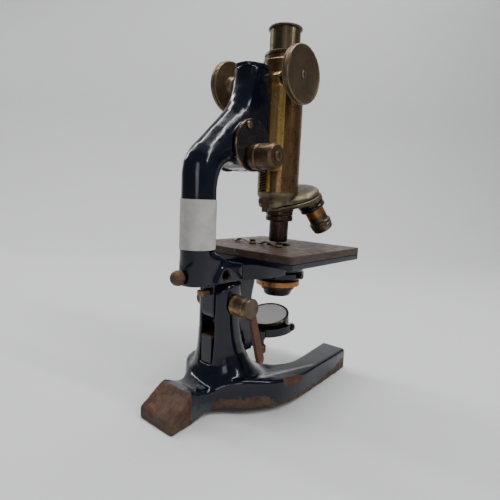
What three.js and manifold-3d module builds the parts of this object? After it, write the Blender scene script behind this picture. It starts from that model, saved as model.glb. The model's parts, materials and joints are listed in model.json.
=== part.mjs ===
// Brass compound microscope on a cast horseshoe stand. Millimetres, +Z up, +Y towards the open
// side of the horseshoe, +X to the right of a user who faces along +Y.
import * as THREE from "three";
import { mergeVertices } from "three/addons/utils/BufferGeometryUtils.js";
import Module from "manifold-3d";

const wasm = await Module();
wasm.setup();

// ---- driving dimensions -------------------------------------------------------------------
const ROUND_DETAIL = 0.5;
const HEEL_Y = -125.5;
const TOE_Y = 67;
const HEEL_LIP_Z = 8.1;
const HEEL_TOP_Y = -106.5;
const HEEL_TOP_Z = 24;
const DECK_ROUND = 2;

const HINGE_Y = -65.5;
const HINGE_Z = 80;
const CHEEK_R = 15.5;
const CHEEK_HALF = 15.4;
const SLOT_HALF = 7;
const SLOT_FLOOR_Z = 33.5;
const FILLER_TOP_Z = 55.5;
const FILLER_HALF = 5.4;
const BOLT_R = 3.5;
const BOLT_HOLE_R = 3.8;

const NUT_X = 15.9;
const NUT_R = 7.7;
const NUT_LENGTH = 17.2;
const LEVER_TOP = [29.2, -61.5, 74.5];
const LEVER_END = [33.2, -54.4, 39.4];
const LEVER_WIDTH = 6.4;
const LEVER_THICK = 3.2;

const LUG_HALF = 6.5;
const LUG_REAR_Y = -79;
const LUG_CORNER_R = 8.5;
const LUG_CORNER_Z = 75;
const FOOT_Z = 96.5;
const FOOT_FRONT_Y = -54;
const FOOT_HALF = 12.4;
const CROSS_HOLE_Y = -74;
const CROSS_HOLE_Z = 103.2;
const CROSS_HOLE_R = 4;
const REAR_SCREW_Z = 102.9;
const REAR_SCREW_R = 5.3;

const HANDLE_Y = -90.4;
const HANDLE_RX = 12;
const HANDLE_RY = 13.1;
const BAND_Z0 = 122.5;
const BAND_Z1 = 157.8;
const BAND_THICK = 0.35;

const HOUSING_FRONT_Y = -31;
const HOUSING_REAR_Y = -45;
const HOUSING_HALF = 11.6;
const HOUSING_Z0 = 180.4;
const HOUSING_TOP_Z = 257;
const COLUMN_Y = -41.5;
const COLUMN_R = 11.8;
const COLUMN_FOOT_Z = 222;

const FINE_PLATE_Y = -50;
const FINE_PLATE_Z = 199;
const FINE_PLATE_R = 19.3;
const FINE_SEAT_X = 12.2;
const DRUM_Y = -51;
const DRUM_Z = 190.5;
const DRUM_R = 9.4;
const DRUM_X0 = 15;
const DRUM_X1 = 39;

const GUIDE_HALF = 13;
const GUIDE_REAR_Y = -30.4;
const GUIDE_FRONT_Y = -11.5;
const GUIDE_Z0 = 183;
const GUIDE_Z1 = 256.8;
const GUIDE_CLEAR_R = 18;

const PINION_Y = -25.4;
const PINION_Z = 251.7;
const PINION_TEETH = 12;
const MODULE_MM = 0.7;
const HELIX = 0.3;
const PINION_HALF = 3.5;
const RACK_HALF = 3.3;
const RACK_Z0 = 165.5;
const RACK_TEETH = 42;
const RACK_BACK_Y = -19.2;
const SADDLE_HALF = 5;
const SHAFT_R = 2.2;
const HEAD_R = 21.2;
const HEAD_INNER_X = 33.2;
const HEAD_THICK = 6.2;
const HEAD_DISH = 1.3;

const TUBE_R = 17.6;
const TUBE_BORE_R = 16.2;
const TUBE_Z0 = 165;
const TUBE_Z1 = 272;
const COLLAR_R = 16.4;
const COLLAR_Z1 = 279;
const DRAW_R = 12.6;
const DRAW_BORE_R = 11.6;
const DRAW_Z0 = 196;
const DRAW_Z1 = 297.3;
const RIM_R = 14.1;
const TOP_Z = 299.5;

const NOSE_Y = 18.5;
const NOSE_Z = 161.5;
const NOSE_TILT = THREE.MathUtils.degToRad(19);
const NOSE_R = 27;
const NECK_R = 15.6;
const OBJECTIVE_RING_R = 15;

const STAGE_X = 55;
const STAGE_Y = 51;
const STAGE_TOP_Z = 120;
const STAGE_JOIN_Z = 114.3;
const STAGE_BOTTOM_Z = 109.7;
const APERTURE_Y = 5;
const APERTURE_R = 14;
const CLIP_POST_X = 14.3;
const CLIP_POST_Y = -13.5;
const SUBSTAGE_Y = 7;

const MIRROR_X = -3;
const MIRROR_Y = 0.4;
const MIRROR_PIVOT_Z = 48.5;
const MIRROR_SWIVEL = THREE.MathUtils.degToRad(11);
const MIRROR_TILT = THREE.MathUtils.degToRad(17);
const MIRROR_R = 19;
const FACE_SEAT = 7.4;
const FORK_R = 22.8;
const FORK_SAG = 3.5;
const FORK_PAD_X = 6;
const FORK_PAD_Y = -25.4;
const ARM_Z = 39;
const ARM_HALF = 2.4;

// ---- materials ----------------------------------------------------------------------------
const FINISHES = {
  japan: [0x12151f, 0.22, 0.1],
  rust: [0x4a2c20, 0.8, 0.3],
  steel: [0x5b4a40, 0.5, 0.8],
  brass: [0xa07a35, 0.35, 0.9],
  patina: [0x5a4630, 0.45, 0.8],
  dark: [0x2b211d, 0.45, 0.6],
  ebonite: [0x5a463c, 0.6, 0.0],
  paper: [0xb4b2ad, 0.9, 0.0],
  mirror: [0xc8cac8, 0.08, 1.0],
  glass: [0xdfe6e6, 0.05, 0.0],
};

const assembly = new THREE.Group();
assembly.name = "compound_microscope";
assembly.position.set(0, -(HEEL_Y + TOE_Y) / 2, 0);

// ---- solids -------------------------------------------------------------------------------
// Welds a three.js geometry, drops collapsed triangles and turns it to face outwards.
function solid(geometry) {
  const bare = geometry.clone();
  bare.deleteAttribute("normal");
  bare.deleteAttribute("uv");
  const welded = mergeVertices(bare, 1e-4);
  const position = welded.getAttribute("position");
  const source = welded.index.array;
  const corners = [];
  let volume = 0;
  const a = new THREE.Vector3();
  const b = new THREE.Vector3();
  const c = new THREE.Vector3();
  for (let i = 0; i < source.length; i += 3) {
    const [p, q, r] = [source[i], source[i + 1], source[i + 2]];
    if (p === q || q === r || p === r) {
      continue;
    }
    a.fromBufferAttribute(position, p);
    b.fromBufferAttribute(position, q);
    c.fromBufferAttribute(position, r);
    volume += a.dot(b.cross(c));
    corners.push(p, q, r);
  }
  if (volume < 0) {
    for (let i = 0; i < corners.length; i += 3) {
      [corners[i], corners[i + 1]] = [corners[i + 1], corners[i]];
    }
  }
  return new wasm.Manifold(new wasm.Mesh({
    numProp: 3,
    vertProperties: new Float32Array(position.array),
    triVerts: new Uint32Array(corners),
  }));
}

function join(first, ...others) {
  return others.reduce((sum, next) => sum.add(next), first);
}

function cut(first, ...others) {
  return others.reduce((rest, next) => rest.subtract(next), first);
}

function add(name, finish, body) {
  const result = body.getMesh();
  const geometry = new THREE.BufferGeometry();
  geometry.setAttribute("position", new THREE.BufferAttribute(result.vertProperties, 3));
  geometry.setIndex(new THREE.BufferAttribute(result.triVerts, 1));
  geometry.computeVertexNormals();
  const [color, roughness, metalness] = FINISHES[finish];
  const material = new THREE.MeshStandardMaterial({ color, roughness, metalness });
  material.name = finish;
  const mesh = new THREE.Mesh(geometry, material);
  mesh.name = name;
  assembly.add(mesh);
}

// A turned piece about Z; the profile is [radius, z] pairs that start and end on the axis.
function turned(profile, segments = 40) {
  const points = profile.map(([r, z]) => new THREE.Vector2(r, z));
  const facets = Math.round(segments * ROUND_DETAIL);
  return new THREE.LatheGeometry(points, facets).rotateX(Math.PI / 2);
}

function rod(radius, z0, z1, segments = 32) {
  return turned([[0, z0], [radius, z0], [radius, z1], [0, z1]], segments);
}

function ring(outer, inner, z0, z1, segments = 40) {
  return turned([[inner, z0], [outer, z0], [outer, z1], [inner, z1], [inner, z0]], segments);
}

function alongX(geometry) {
  return geometry.rotateY(Math.PI / 2);
}

function alongY(geometry) {
  return geometry.rotateX(-Math.PI / 2);
}

function block(x0, x1, y0, y1, z0, z1) {
  return new THREE.BoxGeometry(x1 - x0, y1 - y0, z1 - z0)
    .translate((x0 + x1) / 2, (y0 + y1) / 2, (z0 + z1) / 2);
}

// Corners are [x, y, radius]; every corner with a radius is rounded.
function outline(corners) {
  const shape = new THREE.Shape();
  corners.forEach(([x, y, radius = 0], i) => {
    const before = corners[(i + corners.length - 1) % corners.length];
    const after = corners[(i + 1) % corners.length];
    const here = new THREE.Vector2(x, y);
    const back = new THREE.Vector2(before[0], before[1]).sub(here).setLength(radius);
    const ahead = new THREE.Vector2(after[0], after[1]).sub(here).setLength(radius);
    const start = here.clone().add(back);
    const end = here.clone().add(ahead);
    if (i === 0) {
      shape.moveTo(start.x, start.y);
    } else {
      shape.lineTo(start.x, start.y);
    }
    if (radius > 0) {
      shape.quadraticCurveTo(x, y, end.x, end.y);
    }
  });
  shape.closePath();
  return shape;
}

function extruded(shape, depth, curveSegments = 4) {
  return new THREE.ExtrudeGeometry(shape, { depth, bevelEnabled: false, curveSegments });
}

// A plan shape raised from z0 to z1.
function slab(shape, z0, z1, curveSegments = 4) {
  return extruded(shape, z1 - z0, curveSegments).translate(0, 0, z0);
}

// A side shape drawn in (y, z) and given thickness from x0 to x1.
function sideSlab(shape, x0, x1, curveSegments = 4) {
  const turn = new THREE.Matrix4().makeBasis(
    new THREE.Vector3(0, 1, 0), new THREE.Vector3(0, 0, 1), new THREE.Vector3(1, 0, 0));
  return extruded(shape, x1 - x0, curveSegments).applyMatrix4(turn).translate(x0, 0, 0);
}

// Joins equal rings of points into one skin; the end rings are closed by flat triangulation.
function skin(rings) {
  const count = rings[0].length;
  const positions = rings.flat().flatMap((p) => [p.x, p.y, p.z]);
  const index = [];
  for (let k = 0; k + 1 < rings.length; k += 1) {
    for (let i = 0; i < count; i += 1) {
      const j = (i + 1) % count;
      const [a, b, c, d] = [k * count + i, k * count + j, (k + 1) * count + j, (k + 1) * count + i];
      index.push(a, b, c, a, c, d);
    }
  }
  const closeEnd = (ringNumber, flip) => {
    const normal = ringNormal(rings[ringNumber]);
    const across = new THREE.Vector3(1, 0, 0);
    if (Math.abs(normal.dot(across)) > 0.9) {
      across.set(0, 1, 0);
    }
    const along = new THREE.Vector3().crossVectors(normal, across).normalize();
    across.crossVectors(along, normal);
    const flat = rings[ringNumber].map((p) => new THREE.Vector2(p.dot(across), p.dot(along)));
    for (const [a, b, c] of THREE.ShapeUtils.triangulateShape(flat, [])) {
      const face = flip ? [c, b, a] : [a, b, c];
      index.push(...face.map((v) => v + ringNumber * count));
    }
  };
  closeEnd(0, true);
  closeEnd(rings.length - 1, false);
  const geometry = new THREE.BufferGeometry();
  geometry.setAttribute("position", new THREE.Float32BufferAttribute(positions, 3));
  geometry.setIndex(index);
  return geometry;
}

function ringNormal(points) {
  const normal = new THREE.Vector3();
  points.forEach((p, i) => {
    normal.add(new THREE.Vector3().crossVectors(p, points[(i + 1) % points.length]));
  });
  return normal.normalize();
}

// A closed superellipse between two opposite points, as wide as halfWidth along X.
function ovalRing(rear, front, halfWidth, squareness, count) {
  const middle = new THREE.Vector3().addVectors(rear, front).multiplyScalar(0.5);
  const reach = new THREE.Vector3().subVectors(front, rear).multiplyScalar(0.5);
  const points = [];
  for (let i = 0; i < count; i += 1) {
    const angle = (2 * Math.PI * i) / count;
    const along = power(Math.sin(angle), 2 / squareness);
    const across = power(Math.cos(angle), 2 / squareness);
    points.push(middle.clone().addScaledVector(reach, along)
      .add(new THREE.Vector3(across * halfWidth, 0, 0)));
  }
  return points;
}

function power(value, exponent) {
  return Math.sign(value) * Math.abs(value) ** exponent;
}

function inY(y, z) {
  return new THREE.Vector3(0, y, z);
}

// ---- stand --------------------------------------------------------------------------------
// Plan of the horseshoe: heel, waist, shoulders and two legs, the far leg short and splayed.
function horseshoePlan() {
  const near = [[18.3, HEEL_Y], [17.2, -112], [15.2, -97], [16.4, -87.5], [22.6, -79.5],
    [32.6, -70.5], [42.2, -56.5], [47, -42], [47.7, -18], [44.5, 17.5], [42.5, 47], [40.5, TOE_Y]];
  const inner = [[16, 66.7], [19.5, 41], [22.8, 16.3], [23.3, 0], [18.4, -15], [9.4, -21.5],
    [0, -23.5], [-10, -21.5], [-20, -14.5], [-27, -6], [-33, 6]];
  const far = [[-54.4, 13], [-51.5, -8], [-48.5, -27], [-46.5, -43], [-42.2, -56.5], [-32.6, -70.5],
    [-22.6, -79.5], [-16.4, -87.5], [-15.2, -97], [-17.2, -112], [-18.3, HEEL_Y]];
  const shape = new THREE.Shape();
  const toPoints = (list) => list.map(([x, y]) => new THREE.Vector2(x, y));
  shape.moveTo(...near[0]);
  shape.splineThru(toPoints(near.slice(1)));
  shape.lineTo(...inner[0]);
  shape.splineThru(toPoints(inner.slice(1)));
  shape.lineTo(...far[0]);
  shape.splineThru(toPoints(far.slice(1)));
  return shape.getPoints(3);
}

function heightFrom(table) {
  const curve = new THREE.SplineCurve(table.map(([y, z]) => new THREE.Vector2(y, z)));
  const samples = curve.getPoints(120);
  return (y) => {
    const next = samples.findIndex((p) => p.x >= y);
    if (next <= 0) {
      return next === 0 ? samples[0].y : samples[samples.length - 1].y;
    }
    const [low, high] = [samples[next - 1], samples[next]];
    return low.y + ((high.y - low.y) * (y - low.x)) / (high.x - low.x);
  };
}

const deckHeight = heightFrom([[HEEL_Y, 26], [HEEL_TOP_Y, HEEL_TOP_Z], [-99, 21.4], [-91, 19.8],
  [-84, 22], [-72, 27.3], [-56, 26.2], [-42, 24.2], [-18, 20.4], [17, 19.5], [TOE_Y, 19]]);
const nearArch = heightFrom([[HEEL_Y, 0], [-108, 0], [-90, 3.6], [-72, 5.4], [-56, 4.4],
  [-44, 3.3], [-18, 1.5], [8, 0], [TOE_Y, 0]]);
const farArch = heightFrom([[HEEL_Y, 0], [-108, 0], [-90, 3.6], [-72, 5.4], [-54, 4.2],
  [-34, 2], [-14, 0], [TOE_Y, 0]]);

// Moves every point of a closed plan inwards by the same distance.
function inset(points, distance) {
  const signedArea = THREE.ShapeUtils.area(points);
  return points.map((p, i) => {
    const before = points[(i + points.length - 1) % points.length];
    const after = points[(i + 1) % points.length];
    const a = p.clone().sub(before).normalize();
    const b = after.clone().sub(p).normalize();
    const tangent = a.clone().add(b).normalize();
    const mitre = Math.max(tangent.dot(a), 0.6);
    const normal = new THREE.Vector2(-tangent.y, tangent.x).multiplyScalar(Math.sign(signedArea));
    return p.clone().addScaledVector(normal, distance / mitre);
  });
}

function horseshoe(plan) {
  const ring3 = (points, height) => points.map((p) => new THREE.Vector3(p.x, p.y, height(p)));
  const under = (p) => {
    const share = THREE.MathUtils.smoothstep(p.x, -12, 12);
    return Math.max(0, share * nearArch(p.y) + (1 - share) * farArch(p.y));
  };
  const rings = [ring3(plan, under)];
  const drops = [[0, DECK_ROUND], [0.35, 0.55 * DECK_ROUND], [0.3 * DECK_ROUND, 0.2 * DECK_ROUND],
    [0.62 * DECK_ROUND, 0.04 * DECK_ROUND], [DECK_ROUND, 0]];
  for (const [step, drop] of drops) {
    rings.push(ring3(inset(plan, step), (p) => deckHeight(p.y) - drop));
  }
  return solid(skin(rings));
}

// The pillar flares out of the shoulders; each row is z, half width, rear y, front y, squareness.
function pillar() {
  const rows = [[14, 40, -92, -21, 2], [21, 33, -87.5, -28, 2.1], [27, 26.8, -83.2, -36, 2.2],
    [33, 22.6, -81, -41.5, 2.3], [41, 19.2, -79.8, -46, 2.45], [51, 17, -79.2, -49.6, 2.6],
    [64, 15.8, -79, -51.6, 2.7], [HINGE_Z, CHEEK_HALF, -79, -52, 2.8],
    [HINGE_Z + CHEEK_R, CHEEK_HALF, -79, -52, 2.8]];
  const rings = rows.map(([z, half, rear, front, squareness]) =>
    ovalRing(inY(rear, z), inY(front, z), half, squareness, 32));
  return solid(skin(rings));
}

// Side outline that leaves the cheek tops round about the hinge, so the limb can tilt back.
function cheekSide() {
  const shape = new THREE.Shape();
  shape.moveTo(-100, 0);
  shape.lineTo(-10, 0);
  shape.lineTo(-10, HINGE_Z + CHEEK_R);
  shape.lineTo(HINGE_Y, HINGE_Z + CHEEK_R);
  shape.absarc(HINGE_Y, HINGE_Z, CHEEK_R, Math.PI / 2, Math.PI, false);
  shape.lineTo(-100, 50);
  shape.closePath();
  return sideSlab(shape, -60, 60, 8);
}

function stand() {
  const plan = horseshoePlan();
  const heelSlope = outline([[HEEL_Y - 1, HEEL_LIP_Z - 0.84], [HEEL_TOP_Y, HEEL_TOP_Z],
    [HEEL_TOP_Y, 40], [HEEL_Y - 1, 40]]);
  const planPrism = solid(slab(new THREE.Shape(plan), 10, 110));
  const column = pillar().intersect(planPrism).intersect(solid(cheekSide()));
  const slot = solid(block(-SLOT_HALF, SLOT_HALF, -100, -20, FILLER_TOP_Z, 110));
  const groove = solid(block(-SLOT_HALF, SLOT_HALF, -100, -60, SLOT_FLOOR_Z, FILLER_TOP_Z + 1));
  const bore = solid(alongX(rod(BOLT_HOLE_R, -30, 30, 24)).translate(0, HINGE_Y, HINGE_Z));
  const body = join(cut(horseshoe(plan), solid(sideSlab(heelSlope, -40, 40))), column);
  add("base_casting", "japan", cut(body, slot, groove, bore));
  add("slot_filler", "rust",
    solid(block(-FILLER_HALF, FILLER_HALF, -79, -60.05, SLOT_FLOOR_Z + 0.05, FILLER_TOP_Z)));
  const bolt = turned([[0, -CHEEK_HALF - 4.8], [6.2, -CHEEK_HALF - 4.8], [7, -CHEEK_HALF - 4],
    [7, -CHEEK_HALF - 0.2], [BOLT_R, -CHEEK_HALF - 0.2], [BOLT_R, NUT_X + 10], [0, NUT_X + 10]], 28);
  add("hinge_bolt", "steel", solid(alongX(bolt).translate(0, HINGE_Y, HINGE_Z)));
}

// ---- clamp --------------------------------------------------------------------------------
// A round-ended bar of constant thickness that runs from one point to another.
function flatBar(from, to, width, thickness, outward) {
  const start = new THREE.Vector3(...from);
  const along = new THREE.Vector3(...to).sub(start);
  const length = along.length();
  along.normalize();
  const normal = outward.clone().addScaledVector(along, -outward.dot(along)).normalize();
  const side = new THREE.Vector3().crossVectors(normal, along);
  const half = width / 2;
  const shape = new THREE.Shape();
  shape.moveTo(0, -half);
  shape.lineTo(length, -half);
  shape.absarc(length, 0, half, -Math.PI / 2, Math.PI / 2, false);
  shape.lineTo(0, half);
  shape.closePath();
  const bar = extruded(shape, thickness, 8).translate(0, 0, -thickness / 2);
  return bar.applyMatrix4(new THREE.Matrix4().makeBasis(along, side, normal).setPosition(start));
}

function clamp() {
  const bore = BOLT_R + 0.25;
  const nut = turned([[bore, 0], [NUT_R - 0.6, 0], [NUT_R, 0.6], [NUT_R, 12.2],
    [NUT_R - 0.3, 12.5], [NUT_R, 12.8], [NUT_R, NUT_LENGTH - 0.7], [NUT_R - 0.7, NUT_LENGTH],
    [0, NUT_LENGTH], [0, 10.8], [bore, 10.8], [bore, 0]], 36);
  const nutBody = solid(alongX(nut).translate(NUT_X, HINGE_Y, HINGE_Z));
  const outward = new THREE.Vector3(1, 0, 0.1);
  const lever = solid(flatBar(LEVER_TOP, LEVER_END, LEVER_WIDTH, LEVER_THICK, outward));
  const keepOff = solid(alongX(rod(NUT_R + 0.35, NUT_X, 40, 36)).translate(0, HINGE_Y, HINGE_Z));
  add("clamp_nut", "patina", nutBody);
  add("clamp_lever", "rust", cut(lever, keepOff));
}

// ---- limb ---------------------------------------------------------------------------------
// The S-shaped limb: rear point, front point, half width and squareness of each section.
function limbCurve() {
  const rows = [
    [[-103.5, FOOT_Z], [-77.3, FOOT_Z], HANDLE_RX, 2.2],
    [[-103.5, BAND_Z0 - 4], [-77.3, BAND_Z0 - 4], HANDLE_RX, 2],
    [[-103.5, 166], [-77.3, 166], HANDLE_RX, 2],
    [[-103.3, 176], [-76.3, 172.5], HANDLE_RX, 2.05],
    [[-102, 184.5], [-73.6, 178.6], 11.8, 2.1],
    [[-98.8, 190.6], [-70.5, 182], 11.5, 2.15],
    [[-94, 196.2], [-66, 184.4], 11.3, 2.2],
    [[-87, 202.6], [-60.5, 184.2], 11.2, 2.25],
    [[-78.5, 211], [-54, 182], 11.2, 2.3],
    [[-71.5, 217.6], [-46, 180.6], 11.3, 2.4],
    [[-65, 224], [-37.5, 180.2], 11.5, 2.6],
    [[-60, 230.3], [HOUSING_FRONT_Y, 183.5], 11.6, 2.8],
    [[-56.4, 237], [HOUSING_FRONT_Y, 203], 11.6, 3],
    [[-53.6, 244.5], [HOUSING_FRONT_Y, 222], 11.6, 3.1],
    [[-52, 251.2], [HOUSING_FRONT_Y, 241], 11.6, 3.1],
    [[-51.5, HOUSING_TOP_Z], [HOUSING_FRONT_Y, HOUSING_TOP_Z], 11.6, 3.1]];
  return solid(skin(rows.map(([rear, front, half, squareness]) =>
    ovalRing(inY(...rear), inY(...front), half, squareness, 28))));
}

function limbFoot() {
  const side = outline([[-103.6, FOOT_Z, 2], [FOOT_FRONT_Y, FOOT_Z, 1], [FOOT_FRONT_Y, 109.2, 2],
    [-64, 110.5, 4], [-73, 115.5, 4], [-80, 119, 2], [-98, 119, 2], [-103.6, 110, 2]]);
  const plan = outline([[-7, -103.6, 6], [7, -103.6, 6], [FOOT_HALF, -90, 6],
    [FOOT_HALF, FOOT_FRONT_Y, 1.5], [-FOOT_HALF, FOOT_FRONT_Y, 1.5], [-FOOT_HALF, -90, 6]]);
  return solid(sideSlab(side, -20, 20)).intersect(solid(slab(plan, FOOT_Z - 1, 131)));
}

function limbCasting() {
  const boss = outline([[-87, FOOT_Z + 0.4, 3], [FOOT_FRONT_Y - 0.6, FOOT_Z + 0.4, 2],
    [-68, 110.4, 4], [-76.5, 111.4, 4]]);
  const bosses = solid(sideSlab(boss, -FOOT_HALF - 1.8, FOOT_HALF + 1.8, 6));
  const thumb = turned([[0, COLUMN_FOOT_Z - 9], [4.5, COLUMN_FOOT_Z - 8], [8.4, COLUMN_FOOT_Z - 5],
    [11, COLUMN_FOOT_Z], [COLUMN_R, COLUMN_FOOT_Z + 6], [COLUMN_R, HOUSING_TOP_Z],
    [0, HOUSING_TOP_Z]], 40).translate(0, COLUMN_Y, 0);
  const housing = block(-HOUSING_HALF, HOUSING_HALF, HOUSING_REAR_Y, HOUSING_FRONT_Y, HOUSING_Z0,
    HOUSING_TOP_Z);
  const drumSeat = alongX(rod(FINE_PLATE_R - 1.4, -FINE_SEAT_X, FINE_SEAT_X, 40))
    .translate(0, FINE_PLATE_Y, FINE_PLATE_Z);
  const frontTrim = block(-30, 30, HOUSING_FRONT_Y, 0, 170, 262);
  const crossHole = alongX(rod(CROSS_HOLE_R, -20, 20, 28)).translate(0, CROSS_HOLE_Y, CROSS_HOLE_Z);
  const screwBore = alongY(rod(2.9, -108, -92, 20)).translate(0, 0, REAR_SCREW_Z);
  const body = join(limbCurve(), limbFoot(), bosses, solid(thumb), solid(housing), solid(drumSeat));
  const drumBore = alongX(rod(3.3, 3, 20, 20)).translate(0, DRUM_Y, DRUM_Z);
  add("limb_casting", "japan",
    cut(body, solid(frontTrim), solid(crossHole), solid(screwBore), solid(drumBore)));
}

// The lug between the cheeks and the tail bar in front of the pillar, cut from one plate.
function limbLug() {
  const shape = new THREE.Shape();
  shape.moveTo(LUG_REAR_Y, FOOT_Z - 0.1);
  shape.lineTo(LUG_REAR_Y, LUG_CORNER_Z);
  shape.absarc(LUG_REAR_Y + LUG_CORNER_R, LUG_CORNER_Z, LUG_CORNER_R, Math.PI, 1.5 * Math.PI, false);
  shape.splineThru([[-62, 65.6], [-54, 61.5], [-47, 54], [-43, 46], [-41, 35]]
    .map(([y, z]) => new THREE.Vector2(y, z)));
  shape.lineTo(-33, 35);
  shape.splineThru([[-33.2, 48], [-35.4, 64], [-35.6, 77], [-32.5, 92]]
    .map(([y, z]) => new THREE.Vector2(y, z)));
  shape.lineTo(-32.5, FOOT_Z - 0.1);
  shape.closePath();
  const bore = solid(alongX(rod(BOLT_HOLE_R, -30, 30, 24)).translate(0, HINGE_Y, HINGE_Z));
  const notch = solid(block(-3.8, 3.8, -39, -30, ARM_Z - ARM_HALF - 0.3, ARM_Z + ARM_HALF + 0.3));
  add("limb_lug", "japan",
    cut(solid(sideSlab(shape, -LUG_HALF, LUG_HALF, 5)), bore, notch));
  add("stop_tab", "brass", solid(block(-3.6, 3.2, -86.8, LUG_REAR_Y - 0.1, 86.8, 91.2)));
}

function paperBand() {
  const oval = (grow) => {
    const shape = new THREE.Shape();
    shape.absellipse(0, HANDLE_Y, HANDLE_RX + grow, HANDLE_RY + grow, 0, 2 * Math.PI, false);
    return solid(slab(shape, BAND_Z0, BAND_Z1, 14));
  };
  const core = solid(slab(new THREE.Shape(new THREE.EllipseCurve(0, HANDLE_Y, HANDLE_RX + 0.12,
    HANDLE_RY + 0.12, 0, 2 * Math.PI).getPoints(28)), BAND_Z0 - 1, BAND_Z1 + 1));
  add("paper_band", "paper", cut(oval(0.12 + BAND_THICK), core));
}

function slottedScrew(radius, height, slotWidth = 0.9) {
  const head = turned([[0, 0], [radius, 0], [radius, 0.55 * height], [0.7 * radius, 0.9 * height],
    [0, height]], 24);
  const slot = block(-radius, radius, -slotWidth / 2, slotWidth / 2, 0.45 * height, height + 1);
  return cut(solid(head), solid(slot));
}

function placed(body, x, y, z) {
  return body.translate([x, y, z]);
}

function limbTrim() {
  const capPlan = outline([[-11.5, -31.3, 2], [11.5, -31.3, 2], [12.6, -42, 4], [7, -53, 5],
    [-7, -53, 5], [-12.6, -42, 4]]);
  add("head_cap", "japan", solid(slab(capPlan, HOUSING_TOP_Z + 0.05, HOUSING_TOP_Z + 3)));
  [-1, 1].forEach((side, i) => {
    add(`cap_screw_${i + 1}`, "brass",
      placed(slottedScrew(2.4, 1.6), side * 6.5, -38, HOUSING_TOP_Z + 3.05));
  });
  const plate = turned([[0, 0], [FINE_PLATE_R, 0], [FINE_PLATE_R, 1.6], [FINE_PLATE_R - 0.7, 2.3],
    [0, 2.3]], 56);
  const nearPlate = solid(alongX(plate.clone()).translate(FINE_SEAT_X + 0.05, FINE_PLATE_Y,
    FINE_PLATE_Z));
  const drumBore = solid(alongX(rod(3.3, 3, 20, 20)).translate(0, DRUM_Y, DRUM_Z));
  add("fine_plate_near", "brass", cut(nearPlate, drumBore));
  const farPlate = alongX(plate).rotateZ(Math.PI);
  add("fine_plate_far", "brass",
    solid(farPlate.translate(-FINE_SEAT_X - 0.05, FINE_PLATE_Y, FINE_PLATE_Z)));
  const sideScrew = slottedScrew(2.6, 1.7).rotate([0, 90, 0]);
  add("fine_plate_screw", "patina", placed(sideScrew, FINE_SEAT_X + 2.4, -56.7, 213));
}

// ---- stage --------------------------------------------------------------------------------
function stageBracket() {
  const plan = outline([[-11.5, FOOT_FRONT_Y + 0.1, 1], [11.5, FOOT_FRONT_Y + 0.1, 1],
    [20, -36, 8], [21, -8, 6], [14, 4, 4], [-14, 4, 4], [-21, -8, 6], [-20, -36, 8]]);
  const ringRoom = solid(rod(23.4, 80, 120, 48).translate(0, SUBSTAGE_Y, 0));
  add("stage_bracket", "japan", cut(solid(slab(plan, FOOT_Z, STAGE_BOTTOM_Z - 0.05)), ringRoom));
}

function stage() {
  const plan = outline([[-STAGE_X, -STAGE_Y, 2.5], [STAGE_X, -STAGE_Y, 2.5],
    [STAGE_X, STAGE_Y, 2.5], [-STAGE_X, STAGE_Y, 2.5]]);
  const hole = (radius) => solid(rod(radius, 90, 130, 40).translate(0, APERTURE_Y, 0));
  const lower = solid(slab(plan, STAGE_BOTTOM_Z, STAGE_JOIN_Z - 0.05));
  const upper = solid(slab(plan, STAGE_JOIN_Z, STAGE_TOP_Z));
  add("stage_plate_lower", "japan", cut(lower, hole(APERTURE_R - 1)));
  add("stage_plate_upper", "ebonite", cut(upper, hole(APERTURE_R)));
  const liner = ring(APERTURE_R - 0.15, APERTURE_R - 3, STAGE_JOIN_Z + 0.05, STAGE_TOP_Z - 0.4)
    .translate(0, APERTURE_Y, 0);
  add("aperture_ring", "dark", solid(liner));
}

// A leaf spring clip: a bowed strip that points to -X from its post and ends in a lifted tip.
function clipBlade(side) {
  const length = 22.5;
  const strip = new THREE.Shape();
  strip.moveTo(0, 1);
  strip.lineTo(3.5, 1.3);
  strip.quadraticCurveTo(0.55 * length, 5.2, length - 3.6, 0.35);
  strip.lineTo(length, 1.8);
  strip.lineTo(length, 2.6);
  strip.lineTo(length - 3.6, 1.15);
  strip.quadraticCurveTo(0.55 * length, 6, 3.5, 2.1);
  strip.lineTo(0, 1.8);
  strip.closePath();
  const raised = extruded(strip, 8, 6).translate(0, 0, -4).rotateX(Math.PI / 2);
  const taper = outline([[-4, -3.6, 3.4], [9, -3], [length - 5, -2.6], [length + 1, -3.6, 2.6],
    [length + 1, 3.6, 2.6], [length - 5, 2.6], [9, 3], [-4, 3.6, 3.4]]);
  const eye = cut(solid(rod(3.6, 0.9, 2, 24)), solid(rod(1.9, -1, 6, 24)));
  const body = join(solid(raised).intersect(solid(slab(taper, -1, 8))), eye);
  const drilled = cut(body, solid(rod(1.9, -1, 6, 24)));
  return placed(drilled.rotate([0, 0, 180]), side * CLIP_POST_X, CLIP_POST_Y, STAGE_TOP_Z + 0.1);
}

function stageClips() {
  for (const [label, side] of [["near", 1], ["far", -1]]) {
    const post = turned([[0, 0.05], [2.9, 0.05], [2.9, 0.85], [1.7, 0.85], [1.7, 2.4], [2.6, 2.4],
      [2.6, 3.7], [1.6, 4.2], [0, 4.2]], 24);
    add(`clip_post_${label}`, "dark",
      placed(solid(post), side * CLIP_POST_X, CLIP_POST_Y, STAGE_TOP_Z));
    add(`stage_clip_${label}`, "steel", clipBlade(side));
  }
}

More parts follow.
